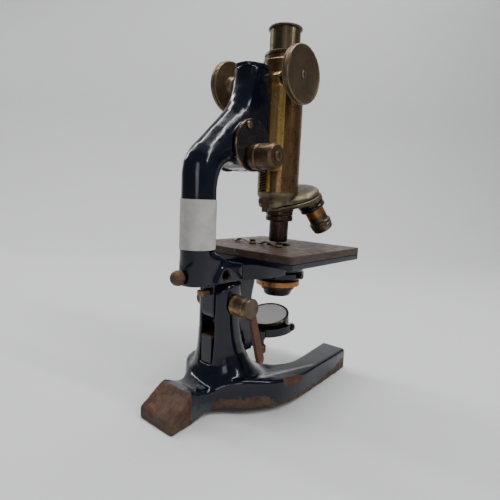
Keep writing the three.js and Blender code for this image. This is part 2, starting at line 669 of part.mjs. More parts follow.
function substage() {
  const mount = turned([[15, 91.6], [22.4, 91.6], [23, 92.2], [23, 96.4], [22.2, 97], [20.6, 97.2],
    [20.6, 98.6], [22.6, 98.8], [22.6, 102.4], [19.5, 103], [19.5, STAGE_BOTTOM_Z - 0.05],
    [15, STAGE_BOTTOM_Z - 0.05], [15, 91.6]], 48).translate(0, SUBSTAGE_Y, 0);
  const screwBore = alongX(rod(1.4, 18, 26, 12)).translate(0, SUBSTAGE_Y, 94.3);
  add("substage_mount", "japan", cut(solid(mount), solid(screwBore)));
  const grip = alongX(turned([[0, 19], [1.2, 19], [1.2, 23.2], [2.2, 23.2], [2.2, 26], [0, 26]], 16));
  add("substage_screw", "dark", solid(grip.translate(0, SUBSTAGE_Y, 94.3)));
  const sleeve = turned([[11, 84], [19.4, 84], [19.4, 88.4], [17.6, 89.4], [14.8, 90], [14.8, 105],
    [13, 105], [13, 88], [11, 87], [11, 84]], 44);
  const notch = block(-2.5, 2.5, -22, -17.8, 83, 87);
  add("condenser_sleeve", "brass",
    cut(solid(sleeve), solid(notch)).translate([0, SUBSTAGE_Y, 0]));
  const cup = turned([[9.2, 74.8], [11, 74.8], [12.4, 77], [12.8, 79.4], [14.6, 80.2],
    [15.2, 83.9], [10.8, 83.9], [9.2, 82], [9.2, 74.8]], 40);
  add("condenser_cup", "dark", solid(cup.translate(0, SUBSTAGE_Y, 0)));
  const lens = turned([[0, 98], [12.8, 98], [12.8, 101], [8, 102.6], [0, 103.2]], 32);
  add("condenser_lens", "glass", solid(lens.translate(0, SUBSTAGE_Y, 0)));
}

// ---- fine focus ---------------------------------------------------------------------------
function fineFocus() {
  const shaftEnd = 4;
  const drum = turned([[0, shaftEnd], [2.8, shaftEnd], [2.8, DRUM_X0], [7.6, DRUM_X0],
    [DRUM_R, DRUM_X0 + 1.6], [DRUM_R, DRUM_X0 + 7], [DRUM_R - 0.8, DRUM_X0 + 7.8],
    [DRUM_R - 0.8, DRUM_X0 + 9], [DRUM_R, DRUM_X0 + 9.8], [DRUM_R, DRUM_X1 - 3],
    [DRUM_R - 1.6, DRUM_X1 - 1], [0, DRUM_X1 - 1]], 44);
  add("fine_drum", "patina", solid(alongX(drum).translate(0, DRUM_Y, DRUM_Z)));
  const screw = slottedScrew(3.6, 1.6, 1).rotate([0, 90, 0]);
  add("fine_drum_screw", "patina", placed(screw, DRUM_X1 - 0.95, DRUM_Y, DRUM_Z));
}

function guideBlock() {
  const rear = GUIDE_REAR_Y;
  const body = solid(block(-GUIDE_HALF, GUIDE_HALF, rear, GUIDE_FRONT_Y, GUIDE_Z0, GUIDE_Z1));
  const tubeRoom = solid(rod(GUIDE_CLEAR_R, 180, 260, 72));
  const rackSlot = solid(block(-3.8, 3.8, -24, -19, 180, 260));
  const saddleSlot = solid(block(-5.5, 5.5, RACK_BACK_Y - 0.3, -10, 180, 260));
  const pinionRoom = solid(alongX(rod(5.4, -3.8, 3.8, 28)).translate(0, PINION_Y, PINION_Z));
  const pinionDoor = solid(block(-3.8, 3.8, rear - 1, PINION_Y, PINION_Z - 5, PINION_Z + 5));
  const shaftBore = solid(alongX(rod(SHAFT_R + 0.3, -30, 30, 20)).translate(0, PINION_Y, PINION_Z));
  const bossShape = turned([[0, -18.5], [4.6, -18.5], [5.4, -17.8], [5.4, 17.8], [4.6, 18.5],
    [0, 18.5]], 28);
  const bosses = solid(alongX(bossShape).translate(0, PINION_Y, PINION_Z))
    .intersect(solid(block(-20, 20, rear, 0, 240, GUIDE_Z1)));
  const stripes = [-1, 1].map((side) => solid(block(
    side > 0 ? GUIDE_HALF - 0.5 : -GUIDE_HALF - 1, side > 0 ? GUIDE_HALF + 1 : -GUIDE_HALF + 0.5,
    -21.4, -20.6, 180, 244)));
  add("guide_block", "brass", cut(join(body, bosses), tubeRoom, rackSlot, saddleSlot, pinionRoom,
    pinionDoor, shaftBore, ...stripes));
}

// ---- rack, pinion and coarse heads --------------------------------------------------------
const PITCH = Math.PI * MODULE_MM;
const PITCH_R = (PINION_TEETH * MODULE_MM) / 2;
const RACK_PITCH_Y = PINION_Y + PITCH_R;

// Teeth point towards -Y; their lines climb with X at the helix angle.
function rackBody() {
  const tip = RACK_PITCH_Y - 0.85 * MODULE_MM;
  const root = RACK_PITCH_Y + 1.15 * MODULE_MM;
  const phase = PINION_Z - RACK_Z0 - Math.floor((PINION_Z - RACK_Z0) / PITCH) * PITCH;
  const shape = new THREE.Shape();
  const start = RACK_Z0 - 4 * PITCH + phase;
  shape.moveTo(RACK_BACK_Y, start);
  shape.lineTo(root, start);
  for (let i = 0; i < RACK_TEETH + 8; i += 1) {
    const z = start + i * PITCH;
    shape.lineTo(root, z + 0.16 * PITCH);
    shape.lineTo(tip, z + 0.38 * PITCH);
    shape.lineTo(tip, z + 0.62 * PITCH);
    shape.lineTo(root, z + 0.84 * PITCH);
  }
  const end = start + (RACK_TEETH + 8) * PITCH;
  shape.lineTo(root, end);
  shape.lineTo(RACK_BACK_Y, end);
  shape.closePath();
  const geometry = sideSlab(shape, -RACK_HALF, RACK_HALF);
  const position = geometry.getAttribute("position");
  for (let i = 0; i < position.count; i += 1) {
    position.setZ(i, position.getZ(i) + Math.tan(HELIX) * position.getX(i));
  }
  const window = block(-RACK_HALF - 1, RACK_HALF + 1, -30, 0, RACK_Z0,
    RACK_Z0 + RACK_TEETH * PITCH);
  return solid(geometry).intersect(solid(window));
}

function pinionBody() {
  const tip = PITCH_R + 0.85 * MODULE_MM;
  const root = PITCH_R - 1.15 * MODULE_MM;
  const step = (2 * Math.PI) / PINION_TEETH;
  const layers = 4;
  const rings = [];
  for (let k = 0; k <= layers; k += 1) {
    const x = -PINION_HALF + (2 * PINION_HALF * k) / layers;
    const points = [];
    for (let i = 0; i < PINION_TEETH; i += 1) {
      for (const [share, radius] of [[-0.34, root], [-0.1, tip], [0.1, tip], [0.34, root]]) {
        const angle = (i + share) * step + (x * Math.tan(HELIX)) / PITCH_R;
        points.push(new THREE.Vector3(x, PINION_Y + radius * Math.cos(angle),
          PINION_Z + radius * Math.sin(angle)));
      }
    }
    rings.push(points);
  }
  const shaft = alongX(rod(SHAFT_R, -HEAD_INNER_X - 2, HEAD_INNER_X + 2, 20))
    .translate(0, PINION_Y, PINION_Z);
  return join(solid(skin(rings)), solid(shaft));
}

// A head with two ridges round its rim and a shallow dished face, seen from its outer face.
function coarseHead(side) {
  const t = HEAD_THICK;
  const profile = [[0, 2.2], [SHAFT_R + 0.1, 2.2], [SHAFT_R + 0.1, -3.4], [6.4, -3.4], [7.4, -2.4],
    [8.4, 0.2], [HEAD_R - 1.2, 0.2], [HEAD_R - 0.3, 0.8], [HEAD_R - 0.3, 1.5], [HEAD_R - 1.2, 2],
    [HEAD_R - 1.2, 2.5], [HEAD_R, 3.1], [HEAD_R, t - 1], [HEAD_R - 0.7, t - 0.1],
    [HEAD_R - 1.6, t], [HEAD_R - 2.5, t - 0.5], [HEAD_R - 7, t - 1.2], [5, t - HEAD_DISH],
    [0, t - HEAD_DISH]];
  const head = solid(alongX(turned(profile, 48)).translate(HEAD_INNER_X, 0, 0));
  const facing = side > 0 ? head : head.rotate([0, 0, 180]);
  return placed(facing, 0, PINION_Y, PINION_Z);
}

function coarseFocus() {
  add("pinion", "steel", pinionBody());
  for (const [label, side] of [["near", 1], ["far", -1]]) {
    add(`coarse_head_${label}`, "patina", coarseHead(side));
    const screw = slottedScrew(2.6, 1.2, 0.9).rotate([0, side * 90, 0]);
    add(`coarse_screw_${label}`, "patina",
      placed(screw, side * (HEAD_INNER_X + HEAD_THICK - HEAD_DISH + 0.05), PINION_Y, PINION_Z));
  }
}

// ---- tubes --------------------------------------------------------------------------------
function bodyTube() {
  const tube = turned([[TUBE_BORE_R, TUBE_Z0], [TUBE_R, TUBE_Z0], [TUBE_R, TUBE_Z1 - 0.8],
    [TUBE_R - 0.6, TUBE_Z1], [TUBE_BORE_R, TUBE_Z1], [TUBE_BORE_R, TUBE_Z0]], 64);
  add("body_tube", "patina", solid(tube));
  const rackRear = RACK_BACK_Y + 0.05;
  const saddle = cut(solid(block(-SADDLE_HALF, SADDLE_HALF, rackRear, -15, RACK_Z0, 258)),
    solid(rod(TUBE_R + 0.05, 150, 280, 64)));
  add("tube_saddle", "brass", saddle);
  add("rack", "dark", rackBody());
  const collar = turned([[DRAW_R + 0.25, TUBE_Z1 - 5], [TUBE_BORE_R - 0.1, TUBE_Z1 - 5],
    [TUBE_BORE_R - 0.1, TUBE_Z1 + 0.1], [COLLAR_R, TUBE_Z1 + 0.1], [COLLAR_R, TUBE_Z1 + 2.4],
    [COLLAR_R - 0.7, TUBE_Z1 + 3], [COLLAR_R - 0.7, TUBE_Z1 + 3.6], [COLLAR_R, TUBE_Z1 + 4.2],
    [COLLAR_R - 0.2, COLLAR_Z1 - 1], [COLLAR_R - 1.4, COLLAR_Z1], [DRAW_R + 0.25, COLLAR_Z1],
    [DRAW_R + 0.25, TUBE_Z1 - 5]], 56);
  add("tube_collar", "brass", solid(collar));
}

function drawTube() {
  const tube = turned([[DRAW_BORE_R, DRAW_Z0], [DRAW_R, DRAW_Z0], [DRAW_R, DRAW_Z1],
    [DRAW_BORE_R, DRAW_Z1], [DRAW_BORE_R, DRAW_Z0]], 56);
  add("drawtube", "patina", solid(tube));
  const rim = turned([[DRAW_BORE_R, DRAW_Z1 + 0.05], [RIM_R - 0.5, DRAW_Z1 + 0.05],
    [RIM_R, DRAW_Z1 + 0.6], [RIM_R, TOP_Z - 0.8], [RIM_R - 0.8, TOP_Z], [DRAW_BORE_R, TOP_Z],
    [DRAW_BORE_R, DRAW_Z1 + 0.05]], 56);
  add("drawtube_rim", "patina", solid(rim));
  const r = DRAW_BORE_R - 0.3;
  const eyepiece = turned([[7, 262], [r, 262], [r, TOP_Z - 0.6], [r - 1.2, TOP_Z - 0.3],
    [6.4, TOP_Z - 1.6], [6.4, TOP_Z - 3], [r - 1, TOP_Z - 5], [r - 1, 263.4], [7, 263.4],
    [7, 262]], 40);
  add("eyepiece", "dark", solid(eyepiece));
  const lens = turned([[0, TOP_Z - 4.4], [6.2, TOP_Z - 4.4], [6.2, TOP_Z - 3.2], [3.5, TOP_Z - 2.6],
    [0, TOP_Z - 2.4]], 28);
  const seat = cut(solid(lens), solid(ring(12, 6.3, 290, 300)));
  add("eye_lens", "glass", seat);
}

// ---- nosepiece ----------------------------------------------------------------------------
// Takes a body drawn about the nosepiece's own axis to its tilted place under the tube.
function tilted(body) {
  return body.rotate([THREE.MathUtils.radToDeg(NOSE_TILT), 0, 0]).translate([0, NOSE_Y, NOSE_Z]);
}

// Takes a body drawn pointing down its own axis to a place on the nosepiece ring.
function atPlace(body, turnDegrees) {
  const leaning = body.rotate([-THREE.MathUtils.radToDeg(NOSE_TILT), 0, 0])
    .translate([0, -OBJECTIVE_RING_R, 0]);
  return tilted(leaning.rotate([0, 0, turnDegrees]));
}

function nosepiece() {
  const capTop = 7.4;
  const cap = turned([[0, 0.3], [NOSE_R - 1.4, 0.3], [NOSE_R - 0.6, 1], [NOSE_R - 0.6, 2.8],
    [NOSE_R - 1.6, 4.2], [NOSE_R - 5, 5.8], [NOSE_R - 10, 6.9], [12, capTop], [0, capTop]], 56);
  const neck = solid(turned([[0, 148], [NECK_R, 148], [NECK_R, TUBE_Z0 - 5], [NECK_R + 1.5,
    TUBE_Z0 - 2.6], [NECK_R + 1.8, TUBE_Z0 - 0.05], [0, TUBE_Z0 - 0.05]], 48));
  const below = tilted(solid(rod(60, -60, 2, 24)));
  const pivotRoom = tilted(solid(rod(3.4, -12, 3.6, 20)));
  const tubeRoom = solid(rod(TUBE_R + 0.3, TUBE_Z0 - 0.05, 190, 48));
  const lightWay = solid(rod(8, 140, TUBE_Z0 + 1, 32).translate(0, 2.5, 0));
  add("nosepiece_mount", "brass", cut(join(tilted(solid(cap)), cut(neck, below)), pivotRoom,
    tubeRoom, lightWay));

  const disc = turned([[0, -7.2], [5, -7.2], [5.6, -6.6], [5.6, -4.2], [NOSE_R - 6, -4.2],
    [NOSE_R - 0.4, -3.5], [NOSE_R, -3], [NOSE_R, -2.4], [NOSE_R - 0.8, -2.1],
    [NOSE_R - 0.8, -1.7], [NOSE_R, -1.4], [NOSE_R, -0.4], [NOSE_R - 0.6, 0], [3.2, 0], [3.2, 3.2],
    [0, 3.2]], 56);
  const socket = solid(turned([[0, -7.6], [11.4, -7.6], [12.2, -7], [12.2, -4], [11, -2.4],
    [0, -2.4]], 40));
  const opening = solid(rod(7.4, -20, 6, 32));
  const sockets = [0, 120, 240].map((angle) => atPlace(socket, angle));
  const openings = [0, 120, 240].map((angle) => atPlace(opening, angle));
  const trim = tilted(solid(rod(60, 0, 30, 24)));
  const pivot = tilted(solid(rod(3.2, -1, 3.2, 20)));
  const ringed = cut(join(tilted(solid(disc)), ...sockets), trim);
  add("nosepiece_disc", "brass", cut(join(ringed, pivot), ...openings));

  const collar = turned([[7.2, -7.65], [11.75, -7.65], [11.75, -10.2], [11.2, -10.7],
    [11.2, -11.3], [11.75, -11.8], [11.75, -15], [10.6, -15.8], [7.2, -15.8], [7.2, -7.65]], 40);
  const barrel = turned([[5, -15.85], [8.6, -15.85], [8.25, -16.8], [8.25, -31.6], [7.8, -33.2],
    [7, -34], [2.6, -34], [2.6, -32.6], [5, -30], [5, -15.85]], 40);
  add("objective_collar_working", "dark", atPlace(solid(collar), 0));
  add("objective_barrel_working", "dark", atPlace(solid(barrel), 0));
  const spareCollar = turned([[6.4, -7.65], [11.6, -7.65], [11.6, -9.4], [11, -9.9], [11, -10.5],
    [11.6, -11], [11.6, -12.8], [10.6, -13.8], [6.4, -13.8], [6.4, -7.65]], 40);
  const spareBarrel = turned([[5, -13.85], [8.7, -13.85], [8.5, -26], [9.9, -26.6], [9.9, -28.6],
    [9.2, -29], [9.2, -29.5], [9.7, -29.9], [9.7, -31.5], [9, -31.9], [9, -32.4], [9.3, -32.8],
    [8.7, -35], [7.4, -36], [3, -36], [3, -34.6], [5, -31], [5, -13.85]], 40);
  add("objective_collar_second", "dark", atPlace(solid(spareCollar), 120));
  add("objective_barrel_second", "patina", atPlace(solid(spareBarrel), 120));
  const bridge = solid(block(-7.5, 7.5, -16.2, -10, 155.5, 159.5));
  const tongue = solid(block(-2.3, 2.3, -17.6, -15.4, 148.5, 156));
  const neckRoom = solid(rod(NECK_R + 0.05, 140, 170, 48));
  add("catch_spring", "rust", cut(join(bridge, tongue), neckRoom));
}

// ---- mirror -------------------------------------------------------------------------------
// Takes a body drawn about the mirror's centre, pivot along X, to its swivelled rest place.
function atMirror(body) {
  return body.rotate([0, 0, THREE.MathUtils.radToDeg(MIRROR_SWIVEL)])
    .translate([MIRROR_X, MIRROR_Y, MIRROR_PIVOT_Z]);
}

function forkArc() {
  const rings = [];
  const steps = 18;
  for (let i = 0; i <= steps; i += 1) {
    const angle = Math.PI + (Math.PI * i) / steps;
    const outward = new THREE.Vector3(Math.cos(angle), Math.sin(angle), 0);
    const height = FORK_SAG * Math.sin(angle);
    rings.push([[-1, -3.4], [-1, 3.4], [1, 3.4], [1, -3.4]].map(([out, up]) =>
      outward.clone().multiplyScalar(FORK_R + out).add(new THREE.Vector3(0, 0, height + up))));
  }
  return solid(skin(rings));
}

function mirror() {
  const tilt = THREE.MathUtils.radToDeg(MIRROR_TILT);
  const cell = turned([[0, -4.6], [11, -4.6], [MIRROR_R - 2.4, -3.4], [MIRROR_R - 0.6, -1.6],
    [MIRROR_R - 0.4, 6.6], [MIRROR_R, 7], [MIRROR_R, 9], [MIRROR_R - 0.6, 9.4],
    [MIRROR_R - 1.4, 9.4], [MIRROR_R - 1.4, FACE_SEAT], [0, FACE_SEAT]], 52);
  const pins = alongX(rod(1.6, -MIRROR_R - 2.2, MIRROR_R + 2.2, 20));
  const keep = solid(rod(MIRROR_R - 2, -2, 2, 40));
  const cellBody = join(solid(cell), cut(solid(pins), keep));
  add("mirror_cell", "brass", atMirror(cellBody.rotate([tilt, 0, 0])));
  const face = solid(rod(MIRROR_R - 1.7, FACE_SEAT + 0.05, FACE_SEAT + 1.3, 48));
  add("mirror_glass", "mirror", atMirror(face.rotate([tilt, 0, 0])));

  const pinBore = solid(alongX(rod(1.9, -40, 40, 20)));
  const padTop = 3.4 - FORK_SAG;
  const padFoot = ARM_Z + ARM_HALF + 0.3 - MIRROR_PIVOT_Z;
  const pad = solid(rod(4.4, padFoot, padTop, 28).translate(FORK_PAD_X, FORK_PAD_Y, 0));
  const padRoom = solid(rod(2.1, -20, padTop - 1.5, 20).translate(FORK_PAD_X, FORK_PAD_Y, 0));
  const ears = [-1, 1].map((side) =>
    solid(alongX(rod(3.6, -1, 1, 24)).translate(side * FORK_R, 0, 0)));
  add("mirror_fork", "japan", atMirror(cut(join(forkArc(), pad, ...ears), pinBore, padRoom)));
  for (const [label, side] of [["right", 1], ["left", -1]]) {
    const screw = slottedScrew(2.8, 1.8, 0.8).rotate([0, side * 90, 0]);
    add(`fork_screw_${label}`, "dark", atMirror(screw.translate([side * (FORK_R + 1.05), 0, 0])));
  }
}

function mirrorArm() {
  const swivel = new THREE.Vector3(FORK_PAD_X, FORK_PAD_Y, 0)
    .applyAxisAngle(new THREE.Vector3(0, 0, 1), MIRROR_SWIVEL)
    .add(new THREE.Vector3(MIRROR_X, MIRROR_Y, 0));
  const start = [0, -35, ARM_Z];
  const end = [swivel.x, swivel.y, ARM_Z];
  const upward = new THREE.Vector3(0, 0, 1);
  const bar = solid(flatBar(start, end, 6.6, 2 * ARM_HALF, upward));
  const root = solid(block(-3.5, 3.5, -38.8, -33, ARM_Z - ARM_HALF, ARM_Z + ARM_HALF));
  const lugRoom = solid(block(-20, 20, -60, -32.6, ARM_Z - 8, ARM_Z + 8));
  const neck = solid(block(-3.3, 3.3, -34, -32, ARM_Z - ARM_HALF, ARM_Z + ARM_HALF));
  const bore = solid(rod(2.2, -9, 9, 20).translate(swivel.x, swivel.y, ARM_Z));
  add("mirror_arm", "japan", cut(join(cut(bar, lugRoom), root, neck), bore));
  const foot = ARM_Z - ARM_HALF - 0.2;
  const knob = turned([[0, foot - 7], [4.2, foot - 7], [5, foot - 6.2], [5, foot - 1], [4.2, foot],
    [1.9, foot], [1.9, ARM_Z + ARM_HALF + 1.6], [0, ARM_Z + ARM_HALF + 1.6]], 28);
  add("fork_knob", "patina", solid(knob.translate(swivel.x, swivel.y, 0)));
}

function rearScrew() {
  const screw = turned([[0, -9], [2.6, -9], [2.6, 0.9], [REAR_SCREW_R - 0.8, 0.9],
    [REAR_SCREW_R, 2], [REAR_SCREW_R + 0.2, 4], [REAR_SCREW_R - 0.6, 7], [REAR_SCREW_R - 2.4, 8.6],
    [0, 9]], 32);
  const facingBack = alongY(screw).rotateZ(Math.PI);
  add("rear_screw", "rust", solid(facingBack.translate(0, -104, REAR_SCREW_Z)));
}

stand();
clamp();
limbCasting();
limbLug();
paperBand();
limbTrim();
rearScrew();
stageBracket();
stage();
stageClips();
substage();
fineFocus();
guideBlock();
coarseFocus();
bodyTube();
drawTube();
nosepiece();
mirror();
mirrorArm();

export default assembly;
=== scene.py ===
import json
import math

import bmesh
import bpy
from mathutils import Matrix, Vector


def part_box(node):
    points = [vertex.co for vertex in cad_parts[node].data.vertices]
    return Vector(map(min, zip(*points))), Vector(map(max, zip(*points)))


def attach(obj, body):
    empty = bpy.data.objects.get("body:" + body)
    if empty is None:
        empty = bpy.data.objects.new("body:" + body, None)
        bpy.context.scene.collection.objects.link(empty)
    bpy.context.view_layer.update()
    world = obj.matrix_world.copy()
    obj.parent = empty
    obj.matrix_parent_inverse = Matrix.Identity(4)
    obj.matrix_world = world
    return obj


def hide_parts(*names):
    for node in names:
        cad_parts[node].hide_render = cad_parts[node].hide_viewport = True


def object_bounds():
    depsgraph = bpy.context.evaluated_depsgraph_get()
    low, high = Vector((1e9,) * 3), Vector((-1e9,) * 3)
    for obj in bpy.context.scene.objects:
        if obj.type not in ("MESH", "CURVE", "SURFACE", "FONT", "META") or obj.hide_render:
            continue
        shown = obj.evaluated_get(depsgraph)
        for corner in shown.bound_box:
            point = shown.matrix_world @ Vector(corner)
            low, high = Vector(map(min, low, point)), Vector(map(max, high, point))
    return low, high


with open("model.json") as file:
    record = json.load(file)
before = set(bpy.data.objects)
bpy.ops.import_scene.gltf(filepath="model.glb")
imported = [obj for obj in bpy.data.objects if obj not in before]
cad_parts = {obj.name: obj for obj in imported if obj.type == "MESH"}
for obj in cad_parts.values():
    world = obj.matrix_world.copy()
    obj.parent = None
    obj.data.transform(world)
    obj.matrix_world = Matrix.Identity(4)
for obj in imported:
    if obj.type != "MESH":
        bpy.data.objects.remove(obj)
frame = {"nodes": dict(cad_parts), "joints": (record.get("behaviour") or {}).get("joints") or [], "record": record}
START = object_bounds()
NODES = frame["nodes"]
JOINTS = {joint["name"]: joint for joint in frame["joints"]}
BODY_OF = {n: b for b, names in frame["record"]["behaviour"]["bodies"].items() for n in names}
MM = 0.001


# ---- places taken from the CAD frame --------------------------------------------------------
def centre(node):
    low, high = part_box(node)
    return (low + high) / 2


def hinge(name):
    joint = JOINTS[name]
    return Vector(joint["pos_m"]), Vector(joint["axis"]).normalized()


FLOOR_Z = START[0].z
HEEL_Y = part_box("base_casting")[0].y
TUBE_AXIS = centre("body_tube")
LIMB_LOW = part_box("limb_casting")[0]
CROSS_HOLE_Y = LIMB_LOW.y + 0.0296
CROSS_HOLE_Z = LIMB_LOW.z + 0.0067
SECOND_PLACE = math.radians(120)
VIEW_AZIMUTH, VIEW_PITCH, VIEW_ROLL = (math.radians(v) for v in (41.03, 7.54, 2.48))
CAMERA_PLACE = (0.2244, -0.2615, 0.1626)
LENS_MM = 30.17
SENSOR_MM = 36


# ---- material helper --------------------------------------------------------------------------
class Paint:
    """Builds one procedural material around a Principled shader, in the piece's own rest place."""

    def __init__(self, name):
        self.mat = bpy.data.materials.new(name)
        self.mat.use_nodes = True
        self.tree = self.mat.node_tree
        self.shader = self.tree.nodes["Principled BSDF"]
        self.coords = self.tree.nodes.new("ShaderNodeTexCoord").outputs["Object"]
        self.heights = []

    def node(self, kind, inputs=None, **settings):
        made = self.tree.nodes.new(kind)
        for key, value in settings.items():
            setattr(made, key, value)
        for key, value in (inputs or {}).items():
            self.feed(made.inputs[key], value)
        return made

    def feed(self, socket, value):
        if isinstance(value, bpy.types.NodeSocket):
            self.tree.links.new(value, socket)
        else:
            socket.default_value = value

    def noise(self, scale, detail=5.0, rough=0.6, stretch=(1, 1, 1), warp=0.0, shift=0.0):
        place = self.node("ShaderNodeMapping", {"Vector": self.coords,
                          "Location": (shift, shift * 0.7, shift * 0.3), "Scale": stretch})
        made = self.node("ShaderNodeTexNoise", {"Vector": place.outputs[0], "Scale": scale,
                         "Detail": detail, "Roughness": rough, "Distortion": warp})
        return made.outputs["Fac"]

    def cells(self, scale, shift=0.0):
        place = self.node("ShaderNodeMapping", {"Vector": self.coords,
                          "Location": (shift, shift, shift)})
        made = self.node("ShaderNodeTexVoronoi", {"Vector": place.outputs[0], "Scale": scale})
        return made.outputs["Distance"]

    def reckon(self, kind, a, b):
        return self.node("ShaderNodeMath", {0: a, 1: b}, operation=kind).outputs[0]

    def plus(self, a, b):
        return self.reckon("ADD", a, b)

    def minus(self, a, b):
        return self.reckon("SUBTRACT", a, b)

    def times(self, a, b):
        return self.reckon("MULTIPLY", a, b)

    def most(self, a, b):
        return self.reckon("MAXIMUM", a, b)

    def step(self, value, low, high, out_low=0.0, out_high=1.0):
        made = self.node("ShaderNodeMapRange", {"Value": value, "From Min": low, "From Max": high,
                         "To Min": out_low, "To Max": out_high}, interpolation_type="SMOOTHSTEP")
        return made.outputs[0]

    def axis(self, letter):
        split = self.node("ShaderNodeSeparateXYZ", {0: self.coords})
        return split.outputs[letter.upper()]

    def distance(self, point, plane="XYZ"):
        keep = [1.0 if letter in plane else 0.0 for letter in "XYZ"]
        flat = self.node("ShaderNodeVectorMath", {0: self.coords, 1: keep}, operation="MULTIPLY")
        target = [value * share for value, share in zip(point, keep)]
        made = self.node("ShaderNodeVectorMath", {0: flat.outputs[0], 1: target},
                         operation="DISTANCE")
        return made.outputs["Value"]

    def edges(self, low=0.52, high=0.6):
        spot = self.node("ShaderNodeNewGeometry").outputs["Pointiness"]
        return self.step(spot, low, high)

    def blend(self, share, a, b):
        made = self.node("ShaderNodeMix", data_type="RGBA")
        self.feed(made.inputs["Factor"], share)
        self.feed(made.inputs[6], a if not isinstance(a, tuple) else (*a, 1))
        self.feed(made.inputs[7], b if not isinstance(b, tuple) else (*b, 1))
        return made.outputs[2]

    def mix_value(self, share, a, b):
        made = self.node("ShaderNodeMix", {"Factor": share}, data_type="FLOAT")
        self.feed(made.inputs[2], a)
        self.feed(made.inputs[3], b)
        return made.outputs[0]

    def relief(self, height, depth, strength=1.0):
        self.heights.append((height, depth, strength))

    def done(self, **values):
        for key, value in values.items():
            socket = self.shader.inputs[key.replace("_", " ")]
            if isinstance(value, tuple) and len(value) == 3:
                value = (*value, 1)
            self.feed(socket, value)
        normal = None
        for height, depth, strength in self.heights:
            bump = self.node("ShaderNodeBump", {"Height": height, "Distance": depth,
                             "Strength": strength})
            if normal is not None:
                self.tree.links.new(normal, bump.inputs["Normal"])
            normal = bump.outputs[0]
        if normal is not None:
            self.tree.links.new(normal, self.shader.inputs["Normal"])
        return self.mat


RUST_DARK = (0.026, 0.016, 0.011)
RUST_MID = (0.080, 0.034, 0.019)
RUST_LIGHT = (0.185, 0.070, 0.028)
RUST_DUST = (0.105, 0.078, 0.058)
JAPAN = (0.0032, 0.0050, 0.0135)
JAPAN_WORN = (0.0085, 0.0085, 0.0125)
SLATE = (0.040, 0.050, 0.060)


def rust_colour(paint, shift=0.0):
    coarse = paint.step(paint.noise(260, 8, 0.65, shift=shift), 0.35, 0.68)
    cloud = paint.step(paint.noise(70, 6, 0.65, warp=1.0, shift=shift + 2), 0.42, 0.62)
    fine = paint.step(paint.noise(1500, 6, 0.7, shift=shift), 0.42, 0.7)
    base = paint.blend(coarse, RUST_DARK, RUST_MID)
    base = paint.blend(paint.times(cloud, 0.55), base, RUST_DUST)
    fleck = paint.step(paint.noise(120, 6, 0.7, shift=shift + 5), 0.54, 0.66)
    base = paint.blend(paint.times(fleck, 0.6), base, RUST_LIGHT)
    return paint.blend(paint.times(fine, 0.35), base, RUST_LIGHT)


def lacquer(name, rust_share=None, chips=0.0, dull_share=None):
    """Glossy japanned iron; rust_share and dull_share give 0..1 where it is bare or worn thin."""
    paint = Paint(name)
    worn = paint.step(paint.noise(70, 4, 0.6, shift=0.2), 0.5, 0.75)
    skin = paint.blend(worn, JAPAN, JAPAN_WORN)
    dust = paint.step(paint.noise(900, 8, 0.75, shift=0.4), 0.6, 0.78)
    skin = paint.blend(paint.times(dust, 0.12), skin, (0.08, 0.07, 0.062))
    dull = dull_share(paint) if dull_share else paint.step(worn, 0.0, 1.0, 0.0, 0.05)
    skin = paint.blend(dull, skin, SLATE)
    spots = paint.step(paint.cells(520, shift=0.3), 0.12, 0.05)
    rare = paint.step(paint.noise(45, 3, 0.5, shift=0.9), 0.56, 0.66)
    chip = paint.times(spots, rare)
    chip = paint.times(chip, chips)
    rubbed = paint.times(paint.edges(0.56, 0.66), paint.step(paint.noise(160, 5, 0.65), 0.5, 0.68))
    chip = paint.most(chip, paint.times(rubbed, 0.55 * chips))
    rust = paint.most(chip, rust_share(paint)) if rust_share else chip
    colour = paint.blend(rust, skin, rust_colour(paint))
    haze = paint.noise(120, 5, 0.65, shift=1.4)
    gloss = paint.plus(paint.step(haze, 0.3, 0.75, 0.12, 0.25), paint.times(dull, 0.3))
    rough = paint.mix_value(rust, gloss, 0.72)
    paint.relief(paint.noise(40, 2, 0.4), 0.0005, 0.2)
    paint.relief(paint.noise(620, 3, 0.5), 0.0001, 0.25)
    paint.relief(paint.times(rust, paint.noise(1400, 7, 0.7)), 0.0006, 0.6)
    return paint.done(Base_Color=colour, Roughness=rough, Specular_IOR_Level=0.34,
                      Coat_Weight=paint.mix_value(rust, 0.12, 0.0), Coat_Roughness=0.05)


